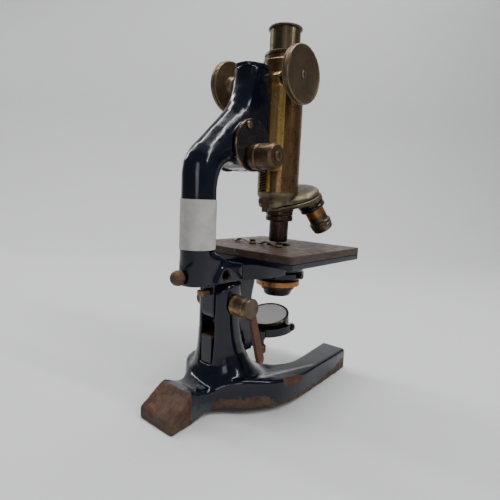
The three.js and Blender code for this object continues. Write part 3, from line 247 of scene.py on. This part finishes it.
def brass(name, colours, rough=(0.26, 0.5), wear=(0.55, 0.36, 0.12), wear_share=0.7,
          stain=0.5, rings=None, specks=0.5, shift=0.0):
    """Old brass: two tones of metal, dark stains, brighter rubbed edges and turning marks."""
    paint = Paint(name)
    tone = paint.step(paint.noise(85, 6, 0.62, warp=0.8, shift=shift), 0.32, 0.7)
    metal = paint.blend(tone, colours[0], colours[1])
    streak = paint.step(paint.noise(240, 6, 0.7, stretch=(1, 1, 0.25), shift=shift + 2), 0.5, 0.8)
    metal = paint.blend(paint.times(streak, stain), metal, colours[2])
    speck = paint.step(paint.noise(1300, 6, 0.75, shift=shift + 1), 0.6, 0.74)
    metal = paint.blend(paint.times(speck, specks), metal, (0.016, 0.011, 0.008))
    # lighter rubbed edges are wear; on the focus heads they also serve as a painted edge sheen
    rub = paint.times(paint.edges(0.515, 0.58), paint.step(tone, 0.0, 1.0, 0.45, 1.0))
    metal = paint.blend(paint.times(rub, wear_share), metal, wear)
    haze = paint.noise(190, 6, 0.7, shift=shift + 3)
    roughness = paint.step(haze, 0.3, 0.75, *rough)
    if rings:
        point, plane = rings
        radius = paint.distance(point, plane)
        place = paint.node("ShaderNodeCombineXYZ", {0: radius})
        marks = paint.node("ShaderNodeTexNoise", {"Vector": place.outputs[0], "Scale": 2600.0,
                           "Detail": 3.0})
        paint.relief(marks.outputs["Fac"], 0.00008, 0.45)
    paint.relief(paint.noise(1100, 5, 0.65), 0.00004, 0.4)
    return paint.done(Base_Color=metal, Metallic=0.92, Roughness=roughness)


PATINA = ((0.150, 0.105, 0.066), (0.092, 0.066, 0.044), (0.036, 0.027, 0.020))
DRAWN = ((0.110, 0.084, 0.050), (0.066, 0.050, 0.033), (0.026, 0.020, 0.015))
HEADS = ((0.168, 0.120, 0.074), (0.108, 0.077, 0.049), (0.044, 0.032, 0.023))
TUBE = ((0.165, 0.094, 0.042), (0.108, 0.060, 0.029), (0.052, 0.032, 0.020))
NOSE = ((0.096, 0.078, 0.047), (0.062, 0.051, 0.033), (0.030, 0.025, 0.018))
GOLD = ((0.62, 0.40, 0.12), (0.38, 0.24, 0.075), (0.110, 0.068, 0.032))
ORANGE = ((0.42, 0.190, 0.060), (0.230, 0.105, 0.040), (0.070, 0.040, 0.022))
CLIP_METAL = ((0.42, 0.35, 0.25), (0.29, 0.24, 0.17), (0.10, 0.08, 0.06))
DRUM = ((0.130, 0.084, 0.052), (0.086, 0.056, 0.037), (0.036, 0.026, 0.020))
BLACKENED = ((0.036, 0.026, 0.022), (0.020, 0.015, 0.015), (0.009, 0.007, 0.008))


def bare_iron(name, shift=0.0):
    """Iron with no lacquer left: rust all over, with a few scratches."""
    paint = Paint(name)
    colour = rust_colour(paint, shift)
    scratch = paint.step(paint.noise(420, 3, 0.5, stretch=(1, 0.1, 1), shift=shift + 4), 0.63, 0.7)
    colour = paint.blend(paint.times(scratch, 0.5), colour, (0.17, 0.09, 0.06))
    paint.relief(paint.noise(1200, 8, 0.7), 0.0004, 0.6)
    paint.relief(scratch, 0.0002, 0.4)
    rough = paint.step(paint.noise(300, 5, 0.6), 0.3, 0.7, 0.5, 0.8)
    return paint.done(Base_Color=colour, Roughness=rough, Metallic=0.25)


def from_heel(distance):
    """The Y of a point so many millimetres in front of the heel."""
    return HEEL_Y + distance * MM


def stand_rust(paint):
    """Bare heel, a wavy rusty strip along the foot of the walls, and a patch at the deck's edge."""
    waves = paint.minus(paint.noise(75, 5, 0.6, shift=5.0), 0.5)
    fine = paint.minus(paint.noise(430, 6, 0.7, shift=6.0), 0.5)
    ragged = paint.plus(paint.times(waves, 0.014), paint.times(fine, 0.007))
    x, y, z = paint.axis("x"), paint.axis("y"), paint.axis("z")
    heel = paint.step(paint.plus(y, paint.times(ragged, 0.12)),
                      from_heel(18.4), from_heel(19.4), 1.0, 0.0)
    height = paint.step(y, from_heel(35), from_heel(44), 0.0028, 0.0128)
    height = paint.minus(height, paint.step(y, from_heel(72), from_heel(82), 0.0, 0.0075))
    height = paint.plus(height, paint.step(y, from_heel(160), from_heel(182), 0.0, 0.0042))
    over = paint.minus(paint.plus(z, ragged), height)
    foot = paint.step(over, -0.0005, 0.0005, 1.0, 0.0)
    near_wall = paint.step(x, -0.01, 0.01, 0.35, 1.0)
    foot = paint.times(foot, near_wall)
    off = paint.minus(y, from_heel(97))
    reach = paint.times(off, off)
    long_side = paint.step(paint.plus(reach, paint.times(ragged, 0.03)), 0.00011, 0.00017,
                           1.0, 0.0)
    top = paint.step(paint.plus(z, paint.times(ragged, 0.8)), 0.0155, 0.0163)
    rim = paint.step(paint.plus(x, paint.times(ragged, 0.8)), 0.0450, 0.0462)
    patch = paint.times(paint.times(long_side, top), rim)
    return paint.most(paint.most(heel, foot), patch)


def stand_dull(paint):
    """Lacquer worn thin and grey low on the walls, most of all beside the heel."""
    cloud = paint.noise(130, 6, 0.65, shift=9.0)
    low = paint.step(paint.plus(paint.axis("z"), paint.times(cloud, 0.02)), 0.014, 0.026,
                     1.0, 0.0)
    heel = paint.step(paint.axis("y"), from_heel(34), from_heel(44), 1.0, 0.38)
    return paint.times(paint.times(low, heel), 0.85)


def limb_rust(paint):
    """Rust in spots round the cross hole."""
    hole = (0.0, CROSS_HOLE_Y, CROSS_HOLE_Z)
    near = paint.step(paint.distance(hole, "YZ"), 0.0040, 0.0066, 1.0, 0.0)
    spots = paint.step(paint.noise(300, 5, 0.7, shift=8.0), 0.45, 0.6)
    return paint.times(near, spots)


def hard_rubber():
    """The stage top: hard rubber gone brown, darker and flecked with rust on its side faces."""
    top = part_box("stage_plate_upper")[1].z
    paint = Paint("ebonite_faded")
    tone = paint.step(paint.noise(30, 6, 0.62, warp=1.5), 0.34, 0.66)
    colour = paint.blend(tone, (0.078, 0.046, 0.031), (0.034, 0.021, 0.016))
    pale = paint.step(paint.noise(18, 5, 0.6, stretch=(1, 0.45, 1), shift=3), 0.5, 0.7)
    colour = paint.blend(paint.times(pale, 0.5), colour, (0.078, 0.054, 0.038))
    red = paint.step(paint.noise(80, 6, 0.7, shift=7), 0.5, 0.68)
    colour = paint.blend(paint.times(red, 0.6), colour, (0.100, 0.038, 0.018))
    scratch = paint.step(paint.noise(330, 2, 0.5, stretch=(0.12, 1, 1), shift=1), 0.66, 0.70)
    colour = paint.blend(paint.times(scratch, 0.4), colour, (0.13, 0.105, 0.085))
    side = paint.step(paint.axis("z"), top - 0.0007, top - 0.0003, 1.0, 0.0)
    streaks = paint.step(paint.noise(90, 6, 0.7, stretch=(1, 1, 3), shift=11), 0.45, 0.62)
    edge = paint.blend(streaks, (0.042, 0.026, 0.019), (0.016, 0.011, 0.010))
    colour = paint.blend(side, colour, edge)
    flakes = paint.step(paint.noise(210, 6, 0.72, shift=13), 0.60, 0.68)
    colour = paint.blend(paint.times(flakes, side), colour, (0.20, 0.105, 0.045))
    rubbed = paint.times(paint.edges(0.52, 0.58), 0.14)
    colour = paint.blend(rubbed, colour, (0.19, 0.105, 0.055))
    paint.relief(paint.noise(1300, 6, 0.7), 0.0002, 0.5)
    paint.relief(scratch, 0.0001, 0.3)
    rough = paint.step(paint.noise(140, 5, 0.6), 0.3, 0.7, 0.36, 0.58)
    return paint.done(Base_Color=colour, Roughness=rough, Specular_IOR_Level=0.36)


def blank_paper():
    paint = Paint("paper_blank")
    speck = paint.step(paint.noise(1500, 6, 0.7), 0.52, 0.7)
    cloud = paint.step(paint.noise(120, 5, 0.6), 0.35, 0.7)
    colour = paint.blend(cloud, (0.50, 0.49, 0.465), (0.40, 0.392, 0.375))
    colour = paint.blend(paint.times(speck, 0.55), colour, (0.25, 0.245, 0.235))
    crease = paint.step(paint.noise(190, 3, 0.6, stretch=(1, 1, 0.05), shift=2), 0.60, 0.66)
    colour = paint.blend(paint.times(crease, 0.4), colour, (0.22, 0.21, 0.195))
    paint.relief(paint.noise(900, 6, 0.7), 0.0001, 0.5)
    paint.relief(crease, 0.0002, 0.5)
    return paint.done(Base_Color=colour, Roughness=0.88)


def painted_reflection_glass():
    paint = Paint("mirror_painted_reflection")
    haze = paint.noise(160, 5, 0.6)
    # painted reflection: a near-white diffuse colour, barely metallic, stands in for the mirror reflecting the
    # bright backdrop
    colour = paint.blend(paint.step(haze, 0.4, 0.75), (0.95, 0.95, 0.94), (0.90, 0.90, 0.89))
    rough = paint.step(haze, 0.3, 0.8, 0.08, 0.2)
    paint.relief(paint.noise(60, 2, 0.5), 0.0002, 0.1)
    return paint.done(Base_Color=colour, Metallic=0.05, Roughness=rough)


def optical_glass():
    paint = Paint("glass_lens")
    rough = paint.step(paint.noise(300, 4, 0.6), 0.3, 0.8, 0.02, 0.08)
    return paint.done(Base_Color=(0.75, 0.82, 0.85), Roughness=rough, Transmission_Weight=0.85,
                      IOR=1.5)


# ---- meshes -----------------------------------------------------------------------------------
def working_copy(node):
    """A welded copy of a CAD node's mesh with its flat faces merged."""
    bm = bmesh.new()
    bm.from_mesh(NODES[node].data)
    bmesh.ops.remove_doubles(bm, verts=bm.verts, dist=2e-6)
    bmesh.ops.dissolve_limit(bm, angle_limit=math.radians(1.0), verts=bm.verts, edges=bm.edges)
    return bm


def round_out(bm, point, direction, cuts=2):
    """Splits every edge that runs round the axis and pushes the new points out to the circle."""
    def radial(vert):
        offset = vert.co - point
        return offset - direction * offset.dot(direction)

    turns = {}
    for edge in bm.edges:
        a, b = (v.co - point for v in edge.verts)
        ra, rb = (radial(v) for v in edge.verts)
        level = abs(a.dot(direction) - b.dot(direction)) < 3e-5
        if level and min(ra.length, rb.length) > 8e-4 and abs(ra.length - rb.length) < 3e-5:
            turns[edge] = ra.angle(rb)
    if not turns:
        return
    angles = sorted(turns.values())
    usual = angles[len(angles) // 2]
    chosen = [e for e, angle in turns.items() if abs(angle - usual) < 0.03 * usual]
    old = set(bm.verts)
    bmesh.ops.subdivide_edges(bm, edges=chosen, cuts=cuts, use_grid_fill=True)
    share = 1 / (cuts + 1)
    shrink = math.sqrt(1 - 2 * share * (1 - share) * (1 - math.cos(usual)))
    for vert in bm.verts:
        if vert not in old:
            spoke = radial(vert)
            vert.co += spoke * (1 / shrink - 1)


def new_piece(name, bm, node):
    mesh = bpy.data.meshes.new(name)
    bm.to_mesh(mesh)
    bm.free()
    mesh.shade_smooth()
    piece = bpy.data.objects.new(name, mesh)
    bpy.context.scene.collection.objects.link(piece)
    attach(piece, BODY_OF[node])
    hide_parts(node)
    return piece


def machined(node, material, axis=None, width=0.28, cuts=2):
    """A turned or milled piece: true circles and small broken edges."""
    bm = working_copy(node)
    if axis:
        round_out(bm, axis[0], axis[1].normalized(), cuts)
    bm.normal_update()
    sharp = [e for e in bm.edges if len(e.link_faces) == 2 and
             e.calc_face_angle(0) > math.radians(33)]
    if width and sharp:
        bmesh.ops.bevel(bm, geom=sharp, offset=width * MM, segments=2, profile=0.6,
                        affect="EDGES", clamp_overlap=True)
    piece = new_piece("seen_" + node, bm, node)
    piece.data.materials.append(material)
    piece.data.set_sharp_from_angle(angle=math.radians(42))
    weighted = piece.modifiers.new("normals", "WEIGHTED_NORMAL")
    weighted.keep_sharp = True
    return piece


def cast(node, material, voxel=0.8, passes=8, relax=None):
    """A cast piece: the CAD form with every edge run round, as a sand casting is."""
    piece = new_piece("seen_" + node, working_copy(node), node)
    piece.data.materials.append(material)
    skin = piece.modifiers.new("skin", "REMESH")
    skin.mode = "VOXEL"
    skin.voxel_size = voxel * MM
    skin.use_smooth_shade = True
    soften = piece.modifiers.new("soften", "SMOOTH")
    soften.factor = 0.5
    soften.iterations = passes
    if relax:
        settle(piece, relax)
    return piece


def settle(piece, relax):
    """Smooths a finished casting further, by the 0..1 share that relax gives at each point."""
    seen = piece.evaluated_get(bpy.context.evaluated_depsgraph_get())
    finished = bpy.data.meshes.new_from_object(seen)
    piece.modifiers.clear()
    piece.data = finished
    group = piece.vertex_groups.new(name="relaxed")
    for vert in finished.vertices:
        share = relax(vert.co)
        if share > 0.01:
            group.add([vert.index], share, "REPLACE")
    smooth = piece.modifiers.new("settle", "SMOOTH")
    smooth.factor = 0.5
    smooth.iterations = 60
    smooth.vertex_group = "relaxed"


def saddle_share(point):
    """How far the stand's surface may relax: the saddle behind the pillar and its shoulders."""
    along_y = (point.y - from_heel(24)) / 0.012
    fade_front = (from_heel(112) - point.y) / 0.02
    above = (point.z - FLOOR_Z - 0.010) / 0.008
    below = (FLOOR_Z + 0.036 - point.z) / 0.006
    groove = (abs(point.x) - 0.0085) / 0.003 if point.y < from_heel(70) else 1.0
    clear = max(groove, (FLOOR_Z + 0.031 - point.z) / 0.003)
    return max(0.0, min(1.0, along_y, fade_front, above, below, clear))


def along(letter, node):
    return centre(node), Vector([1.0 if c == letter else 0.0 for c in "xyz"])


# ---- the object ------------------------------------------------------------------------------
def build_stand():
    iron = lacquer("japan_stand", stand_rust, chips=0.9, dull_share=stand_dull)
    cast("base_casting", iron, voxel=0.9, passes=10, relax=saddle_share)
    machined("slot_filler", lacquer("japan_filler", filler_rust, chips=0.6), width=0.4)
    machined("hinge_bolt", bare_iron("bolt_steel", shift=2), along("x", "hinge_bolt"))
    pivot = hinge("clamp_turn")[0]
    machined("clamp_nut", nut_brass(pivot), along("x", "clamp_nut"), width=0.35)
    machined("clamp_lever", lever_iron(), width=0.7)


def nut_brass(pivot):
    """The clamp nut: dull brown, rubbed to gold underneath and near its seat."""
    low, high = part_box("clamp_nut")
    paint = Paint("nut_brass")
    tone = paint.step(paint.noise(110, 6, 0.65, warp=0.8), 0.32, 0.7)
    colour = paint.blend(tone, (0.130, 0.098, 0.068), (0.078, 0.058, 0.042))
    ragged = paint.times(paint.noise(230, 6, 0.7), 0.006)
    seat = paint.step(paint.plus(paint.axis("x"), ragged), low.x + 0.0055, low.x + 0.0095, 1.0, 0.0)
    under = paint.step(paint.plus(paint.axis("z"), ragged), pivot.z - 0.0005, pivot.z + 0.0055,
                       1.0, 0.0)
    side = paint.step(paint.axis("x"), high.x - 0.0014, high.x - 0.0008, 1.0, 0.0)
    gold = paint.times(paint.most(paint.times(under, 0.75), seat), side)
    gold = paint.times(gold, paint.step(paint.noise(300, 6, 0.7), 0.38, 0.6))
    colour = paint.blend(gold, colour, (0.46, 0.28, 0.09))
    speck = paint.step(paint.noise(1000, 6, 0.7), 0.58, 0.72)
    colour = paint.blend(paint.times(speck, 0.5), colour, (0.02, 0.014, 0.01))
    rub = paint.times(paint.edges(0.515, 0.58), 0.5)
    colour = paint.blend(rub, colour, (0.36, 0.26, 0.14))
    paint.relief(paint.noise(900, 6, 0.7), 0.00015, 0.45)
    rough = paint.step(paint.noise(200, 5, 0.6), 0.3, 0.75, 0.36, 0.6)
    return paint.done(Base_Color=colour, Metallic=0.8, Roughness=rough)


def filler_rust(paint):
    """Rust along the top of the plate in the slot."""
    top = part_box("slot_filler")[1].z
    z = paint.plus(paint.axis("z"), paint.times(paint.noise(300, 5, 0.6), 0.004))
    return paint.step(z, top - 0.0006, top + 0.0012)


def lever_iron():
    paint = Paint("lever_rust")
    tone = paint.step(paint.noise(130, 6, 0.65), 0.32, 0.7)
    colour = paint.blend(tone, (0.120, 0.043, 0.028), (0.068, 0.027, 0.019))
    grain = paint.step(paint.noise(1200, 6, 0.7), 0.5, 0.72)
    colour = paint.blend(paint.times(grain, 0.5), colour, (0.20, 0.085, 0.05))
    paint.relief(paint.noise(1000, 7, 0.7), 0.0003, 0.6)
    return paint.done(Base_Color=colour, Roughness=0.58, Metallic=0.2)


def build_limb():
    japan = lacquer("japan_limb", limb_rust, chips=0.5)
    plain = lacquer("japan_plain", chips=0.5)
    cast("limb_casting", japan, voxel=0.7, passes=9, relax=foot_share)
    cast("limb_lug", plain, voxel=0.7, passes=5)
    cast("head_cap", plain, voxel=0.35, passes=3)
    cast("stage_bracket", plain, voxel=0.6, passes=5)
    machined("mirror_arm", plain, width=0.6)
    patina = brass("brass_patina", PATINA, (0.3, 0.5), shift=2)
    machined("stop_tab", brass("brass_tab", DRUM, (0.4, 0.6), wear_share=0.4, shift=5), width=0.9)
    for number in (1, 2):
        machined(f"cap_screw_{number}", patina, along("z", f"cap_screw_{number}"), width=0.15)
    machined("fine_plate_near", plate_brass(), along("x", "fine_plate_near"), width=0.3)
    machined("fine_plate_far", plate_brass(), along("x", "fine_plate_far"), width=0.3)
    machined("fine_plate_screw", patina, along("x", "fine_plate_screw"), width=0.15)
    machined("rear_screw", bare_iron("screw_rust", shift=7), along("y", "rear_screw"), width=0.4)
    band = machined("paper_band", blank_paper(), along("z", "paper_band"), width=0, cuts=1)
    band.data.set_sharp_from_angle(angle=math.radians(60))


def foot_share(point):
    """How far the limb's foot may relax, so the boss round the cross hole blends in."""
    hole = math.hypot(point.y - CROSS_HOLE_Y, point.z - CROSS_HOLE_Z)
    up = point.z - LIMB_LOW.z
    return max(0.0, min(1.0, (hole - 0.0052) / 0.002, (0.026 - up) / 0.006, (up - 0.0015) / 0.002,
                        (abs(point.x) - 0.007) / 0.002, (LIMB_LOW.y + 0.047 - point.y) / 0.003))


def plate_brass():
    """The fine-focus plates: black lacquer on the face, bare brass at the rim."""
    middle = centre("fine_plate_near")
    paint = Paint("plate_face")
    radius = paint.distance(middle, "YZ")
    ragged = paint.times(paint.noise(240, 5, 0.65), 0.0012)
    rim = paint.step(paint.minus(radius, ragged), 0.0183, 0.0187)
    dull = paint.step(paint.noise(60, 5, 0.6), 0.4, 0.75)
    face = paint.blend(dull, (0.013, 0.013, 0.014), (0.036, 0.029, 0.023))
    gold = paint.blend(paint.noise(300, 4, 0.6), (0.27, 0.18, 0.085), (0.15, 0.10, 0.05))
    paint.relief(paint.noise(300, 4, 0.6), 0.0002, 0.4)
    rough = paint.step(paint.noise(200, 5, 0.6), 0.3, 0.8, 0.16, 0.34)
    return paint.done(Base_Color=paint.blend(rim, face, gold), Metallic=paint.mix_value(rim, 0.25, 0.95),
                      Roughness=rough)


def build_stage():
    plain = lacquer("japan_stage", chips=0.4)
    machined("stage_plate_lower", plain, width=0.5)
    machined("stage_plate_upper", hard_rubber(), width=0.55)
    dark = brass("dark_stage", BLACKENED, (0.3, 0.5), wear=(0.12, 0.08, 0.05), shift=4)
    machined("aperture_ring", dark, along("z", "aperture_ring"))
    for side in ("near", "far"):
        machined(f"clip_post_{side}", dark, along("z", f"clip_post_{side}"), width=0.2)
        machined(f"stage_clip_{side}", brass(f"clip_{side}", CLIP_METAL, (0.42, 0.62),
                 wear=(0.42, 0.34, 0.22), shift=6), width=0.12)
    machined("substage_mount", lacquer("japan_substage", chips=0.8),
             along("z", "substage_mount"), width=0.25)
    machined("substage_screw", dark, along("x", "substage_screw"), width=0.2)
    sleeve = brass("sleeve_brass", ORANGE, (0.3, 0.5), wear=(0.45, 0.27, 0.10), shift=8)
    machined("condenser_sleeve", sleeve, along("z", "condenser_cup"), width=0.25)
    machined("condenser_cup", dark, along("z", "condenser_cup"), width=0.25)
    machined("condenser_lens", optical_glass(), along("z", "condenser_lens"), width=0.2)


def build_mirror():
    plain = lacquer("japan_fork", chips=0.7)
    pivot, direction = hinge("mirror_tilt")
    machined("mirror_fork", plain, width=0.4)
    dark = brass("dark_fork", BLACKENED, (0.3, 0.5), wear=(0.2, 0.13, 0.07), shift=9)
    for side in ("right", "left"):
        machined(f"fork_screw_{side}", dark, (centre(f"fork_screw_{side}"), direction), width=0.15)
    machined("fork_knob", brass("knob_brass", PATINA, (0.4, 0.6), shift=10),
             along("z", "fork_knob"), width=0.3)
    normal = (centre("mirror_glass") - pivot).normalized()
    rim = brass("mirror_rim", BLACKENED, (0.28, 0.46), wear=(0.42, 0.33, 0.2), wear_share=0.95,
                shift=11)
    machined("mirror_cell", rim, (pivot, normal), width=0.3)
    # the glass carries a painted reflection, not a real mirror finish
    machined("mirror_glass", painted_reflection_glass(), (pivot, normal), width=0.25)


def build_focus():
    machined("guide_block", guide_brass(), width=0.35)
    axis = hinge("fine_drum_turn")[0]
    drum = brass("drum_brass", DRUM, (0.34, 0.54), wear=(0.34, 0.23, 0.11), wear_share=0.5,
                 rings=(axis, "YZ"), shift=12)
    machined("fine_drum", drum, along("x", "fine_drum"), width=0.35)
    machined("fine_drum_screw", drum, along("x", "fine_drum_screw"), width=0.15)
    pinion_at = hinge("pinion_turn")[0]
    machined("pinion", brass("pinion_steel", BLACKENED, (0.3, 0.5), shift=13), width=0.1)
    # the heads' lighter ridge edges are partly rubbed wear and partly a painted sheen standing in for bright edge
    # reflections
    head = brass("head_brass", HEADS, (0.34, 0.54), wear=(0.36, 0.29, 0.2), stain=0.4,
                 rings=(pinion_at, "YZ"), shift=14)
    for side in ("near", "far"):
        machined(f"coarse_head_{side}", head, (pinion_at, Vector((1, 0, 0))), width=0.22)
        machined(f"coarse_screw_{side}", head, along("x", f"coarse_screw_{side}"), width=0.15)


def guide_brass():
    """The slide block: gold all over, with a painted highlight on the front strip beside the tube and painted
    shade on the duller rear part.
    """
    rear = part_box("guide_block")[0].y
    paint = Paint("guide_gold")
    tone = paint.step(paint.noise(170, 5, 0.6, stretch=(1, 1, 0.07)), 0.35, 0.68)
    # painted highlight: the bright gold of the front strip stands in for light falling on it
    painted_highlight_gold = paint.blend(tone, (0.70, 0.46, 0.14), (0.46, 0.29, 0.09))
    # painted shade: the dull gold of the rear part stands in for shade beside the limb
    dull = paint.blend(tone, (0.42, 0.28, 0.105), (0.27, 0.175, 0.07))
    front = paint.step(paint.axis("y"), rear + 0.0088, rear + 0.0098)
    colour = paint.blend(front, dull, painted_highlight_gold)
    grime = paint.step(paint.noise(260, 6, 0.65, stretch=(1, 1, 0.12), shift=4), 0.54, 0.74)
    colour = paint.blend(paint.times(grime, 0.42), colour, (0.07, 0.045, 0.022))
    paint.relief(paint.noise(900, 5, 0.6), 0.00003, 0.3)
    rough = paint.step(paint.noise(200, 5, 0.65), 0.3, 0.75, 0.24, 0.46)
    return paint.done(Base_Color=colour, Metallic=0.8, Roughness=rough)


def build_tube():
    gold = brass("brass_gold", GOLD, (0.22, 0.42), wear=(0.75, 0.52, 0.2), stain=0.65, shift=1)
    tube = brass("tube_brass", TUBE, (0.24, 0.42), wear=(0.36, 0.24, 0.11), stain=0.3, specks=0.15,
                 shift=15)
    machined("body_tube", tube, (TUBE_AXIS, Vector((0, 0, 1))), width=0.25, cuts=2)
    machined("tube_saddle", gold, width=0.3)
    machined("rack", brass("rack_dark", BLACKENED, (0.3, 0.5), wear=(0.35, 0.24, 0.1), shift=16),
             width=0.05)
    olive = brass("drawn_tube", DRAWN, (0.26, 0.46), wear=(0.3, 0.23, 0.13), shift=17)
    machined("tube_collar", olive, (TUBE_AXIS, Vector((0, 0, 1))), width=0.22)
    machined("drawtube", olive, (TUBE_AXIS, Vector((0, 0, 1))), width=0.2)
    machined("drawtube_rim", olive, (TUBE_AXIS, Vector((0, 0, 1))), width=0.2)
    black = brass("eyepiece_black", BLACKENED, (0.3, 0.5), shift=18)
    machined("eyepiece", black, (TUBE_AXIS, Vector((0, 0, 1))), width=0.25)
    machined("eye_lens", optical_glass(), (TUBE_AXIS, Vector((0, 0, 1))), width=0.15)


def build_nosepiece():
    pivot, direction = hinge("nosepiece_turn")
    olive = brass("nose_brass", NOSE, (0.34, 0.54), wear=(0.26, 0.22, 0.14), stain=0.6, shift=19)
    machined("nosepiece_mount", olive, (pivot, direction), width=0.3)
    machined("nosepiece_disc", olive, (pivot, direction), width=0.25)
    machined("catch_spring", bare_iron("spring_rust", shift=9), width=0.4)
    dark = brass("objective_dark", ((0.060, 0.036, 0.030), (0.030, 0.019, 0.018),
                 (0.014, 0.010, 0.011)), (0.24, 0.42), wear=(0.22, 0.14, 0.08), shift=20)
    upright = Vector((0, 0, 1))
    spot = centre("objective_collar_working")
    machined("objective_collar_working", dark, (spot, upright), width=0.25)
    machined("objective_barrel_working", dark, (spot, upright), width=0.25)
    turn = Matrix.Rotation(SECOND_PLACE, 3, direction)
    lean = turn @ Vector((0, 0, -1))
    seat = pivot + turn @ (Vector((spot.x, spot.y, pivot.z)) - pivot)
    collar = brass("collar_black", BLACKENED, (0.2, 0.38), wear=(0.3, 0.2, 0.1), shift=21)
    machined("objective_collar_second", collar, (seat, lean), width=0.25)
    machined("objective_barrel_second", barrel_brass(seat), (seat, lean), width=0.2)


def barrel_brass(seat):
    """The second objective: lacquered orange barrel, dull grips towards its tip."""
    paint = Paint("barrel_brass")
    tone = paint.step(paint.noise(120, 6, 0.65, warp=0.6), 0.32, 0.7)
    barrel = paint.blend(tone, ORANGE[0], ORANGE[1])
    grip = paint.blend(tone, (0.130, 0.105, 0.072), (0.072, 0.058, 0.042))
    reach = paint.distance(seat)
    colour = paint.blend(paint.step(reach, 0.0262, 0.0270), barrel, grip)
    root = paint.step(reach, 0.0150, 0.0185, 1.0, 0.0)
    colour = paint.blend(paint.times(root, 0.6), colour, ORANGE[2])
    speck = paint.step(paint.noise(900, 6, 0.7), 0.56, 0.72)
    colour = paint.blend(paint.times(speck, 0.6), colour, (0.022, 0.015, 0.011))
    rub = paint.times(paint.edges(0.515, 0.58), 0.5)
    colour = paint.blend(rub, colour, (0.34, 0.25, 0.14))
    paint.relief(paint.noise(1000, 5, 0.65), 0.0001, 0.35)
    rough = paint.step(paint.noise(220, 5, 0.6), 0.3, 0.75, 0.26, 0.46)
    return paint.done(Base_Color=colour, Metallic=0.88, Roughness=rough)


# ---- studio -----------------------------------------------------------------------------------
def backdrop():
    """A pale floor that sweeps up into a wall behind the object."""
    away = Vector((-math.sin(VIEW_AZIMUTH), math.cos(VIEW_AZIMUTH), 0))
    side = Vector((math.cos(VIEW_AZIMUTH), math.sin(VIEW_AZIMUTH), 0))
    start, bend, top, half_width = -1.4, 0.75, 2.4, 2.2
    profile = [(start, 0.0)]
    steps = 24
    radius = 0.45
    for i in range(steps + 1):
        angle = math.pi / 2 * i / steps
        profile.append((bend + radius * math.sin(angle), radius * (1 - math.cos(angle))))
    profile.append((bend + radius, top))
    verts, faces = [], []
    for reach, height in profile:
        for width in (-half_width, half_width):
            verts.append(away * reach + side * width + Vector((0, 0, FLOOR_Z + height)))
    for i in range(len(profile) - 1):
        faces.append((2 * i, 2 * i + 1, 2 * i + 3, 2 * i + 2))
    mesh = bpy.data.meshes.new("backdrop")
    mesh.from_pydata(verts, [], faces)
    mesh.shade_smooth()
    sweep = bpy.data.objects.new("backdrop", mesh)
    bpy.context.scene.collection.objects.link(sweep)
    paint = Paint("backdrop_paper")
    tone = paint.blend(paint.noise(3, 3, 0.5), (0.60, 0.605, 0.61), (0.63, 0.632, 0.635))
    mesh.materials.append(paint.done(Base_Color=tone, Roughness=0.9))


def area_light(name, place, target, size, power):
    data = bpy.data.lights.new(name, "AREA")
    data.shape = "RECTANGLE"
    data.size, data.size_y = size
    data.energy = power
    lamp = bpy.data.objects.new(name, data)
    lamp.location = place
    lamp.rotation_euler = (Vector(target) - Vector(place)).to_track_quat("-Z", "Y").to_euler()
    bpy.context.scene.collection.objects.link(lamp)


def studio():
    backdrop()
    world = bpy.data.worlds.new("studio")
    world.use_nodes = True
    world.node_tree.nodes["Background"].inputs[0].default_value = (0.80, 0.82, 0.85, 1)
    world.node_tree.nodes["Background"].inputs[1].default_value = 0.16
    bpy.context.scene.world = world
    aim = (0, 0, 0.14)
    area_light("tube_right", (0.55, 0.1, 1.35), aim, (0.06, 2.4), 20)
    area_light("tube_left", (-0.6, -0.1, 1.35), aim, (0.06, 2.4), 17)
    area_light("wall_wash", (-0.1, 0.6, 1.5), (-0.45, 0.6, 0.2), (1.2, 0.5), 8)
    area_light("front_fill", (1.3, -1.5, 0.5), aim, (0.7, 0.7), 5)


def camera():
    level = math.cos(VIEW_PITCH)
    ahead = Vector((-math.sin(VIEW_AZIMUTH) * level, math.cos(VIEW_AZIMUTH) * level,
                    -math.sin(VIEW_PITCH)))
    right = Vector((math.cos(VIEW_AZIMUTH), math.sin(VIEW_AZIMUTH), 0))
    up = right.cross(ahead)
    rolled_right = math.cos(VIEW_ROLL) * right + math.sin(VIEW_ROLL) * up
    rolled_up = math.cos(VIEW_ROLL) * up - math.sin(VIEW_ROLL) * right
    data = bpy.data.cameras.new("camera")
    data.lens = LENS_MM
    data.sensor_width = SENSOR_MM
    data.clip_start = 0.01
    cam = bpy.data.objects.new("camera", data)
    turn = Matrix((rolled_right, rolled_up, -ahead)).transposed().to_4x4()
    cam.matrix_world = Matrix.Translation(CAMERA_PLACE) @ turn
    bpy.context.scene.collection.objects.link(cam)
    bpy.context.scene.camera = cam


build_stand()
build_limb()
build_stage()
build_mirror()
build_focus()
build_tube()
build_nosepiece()
studio()
camera()
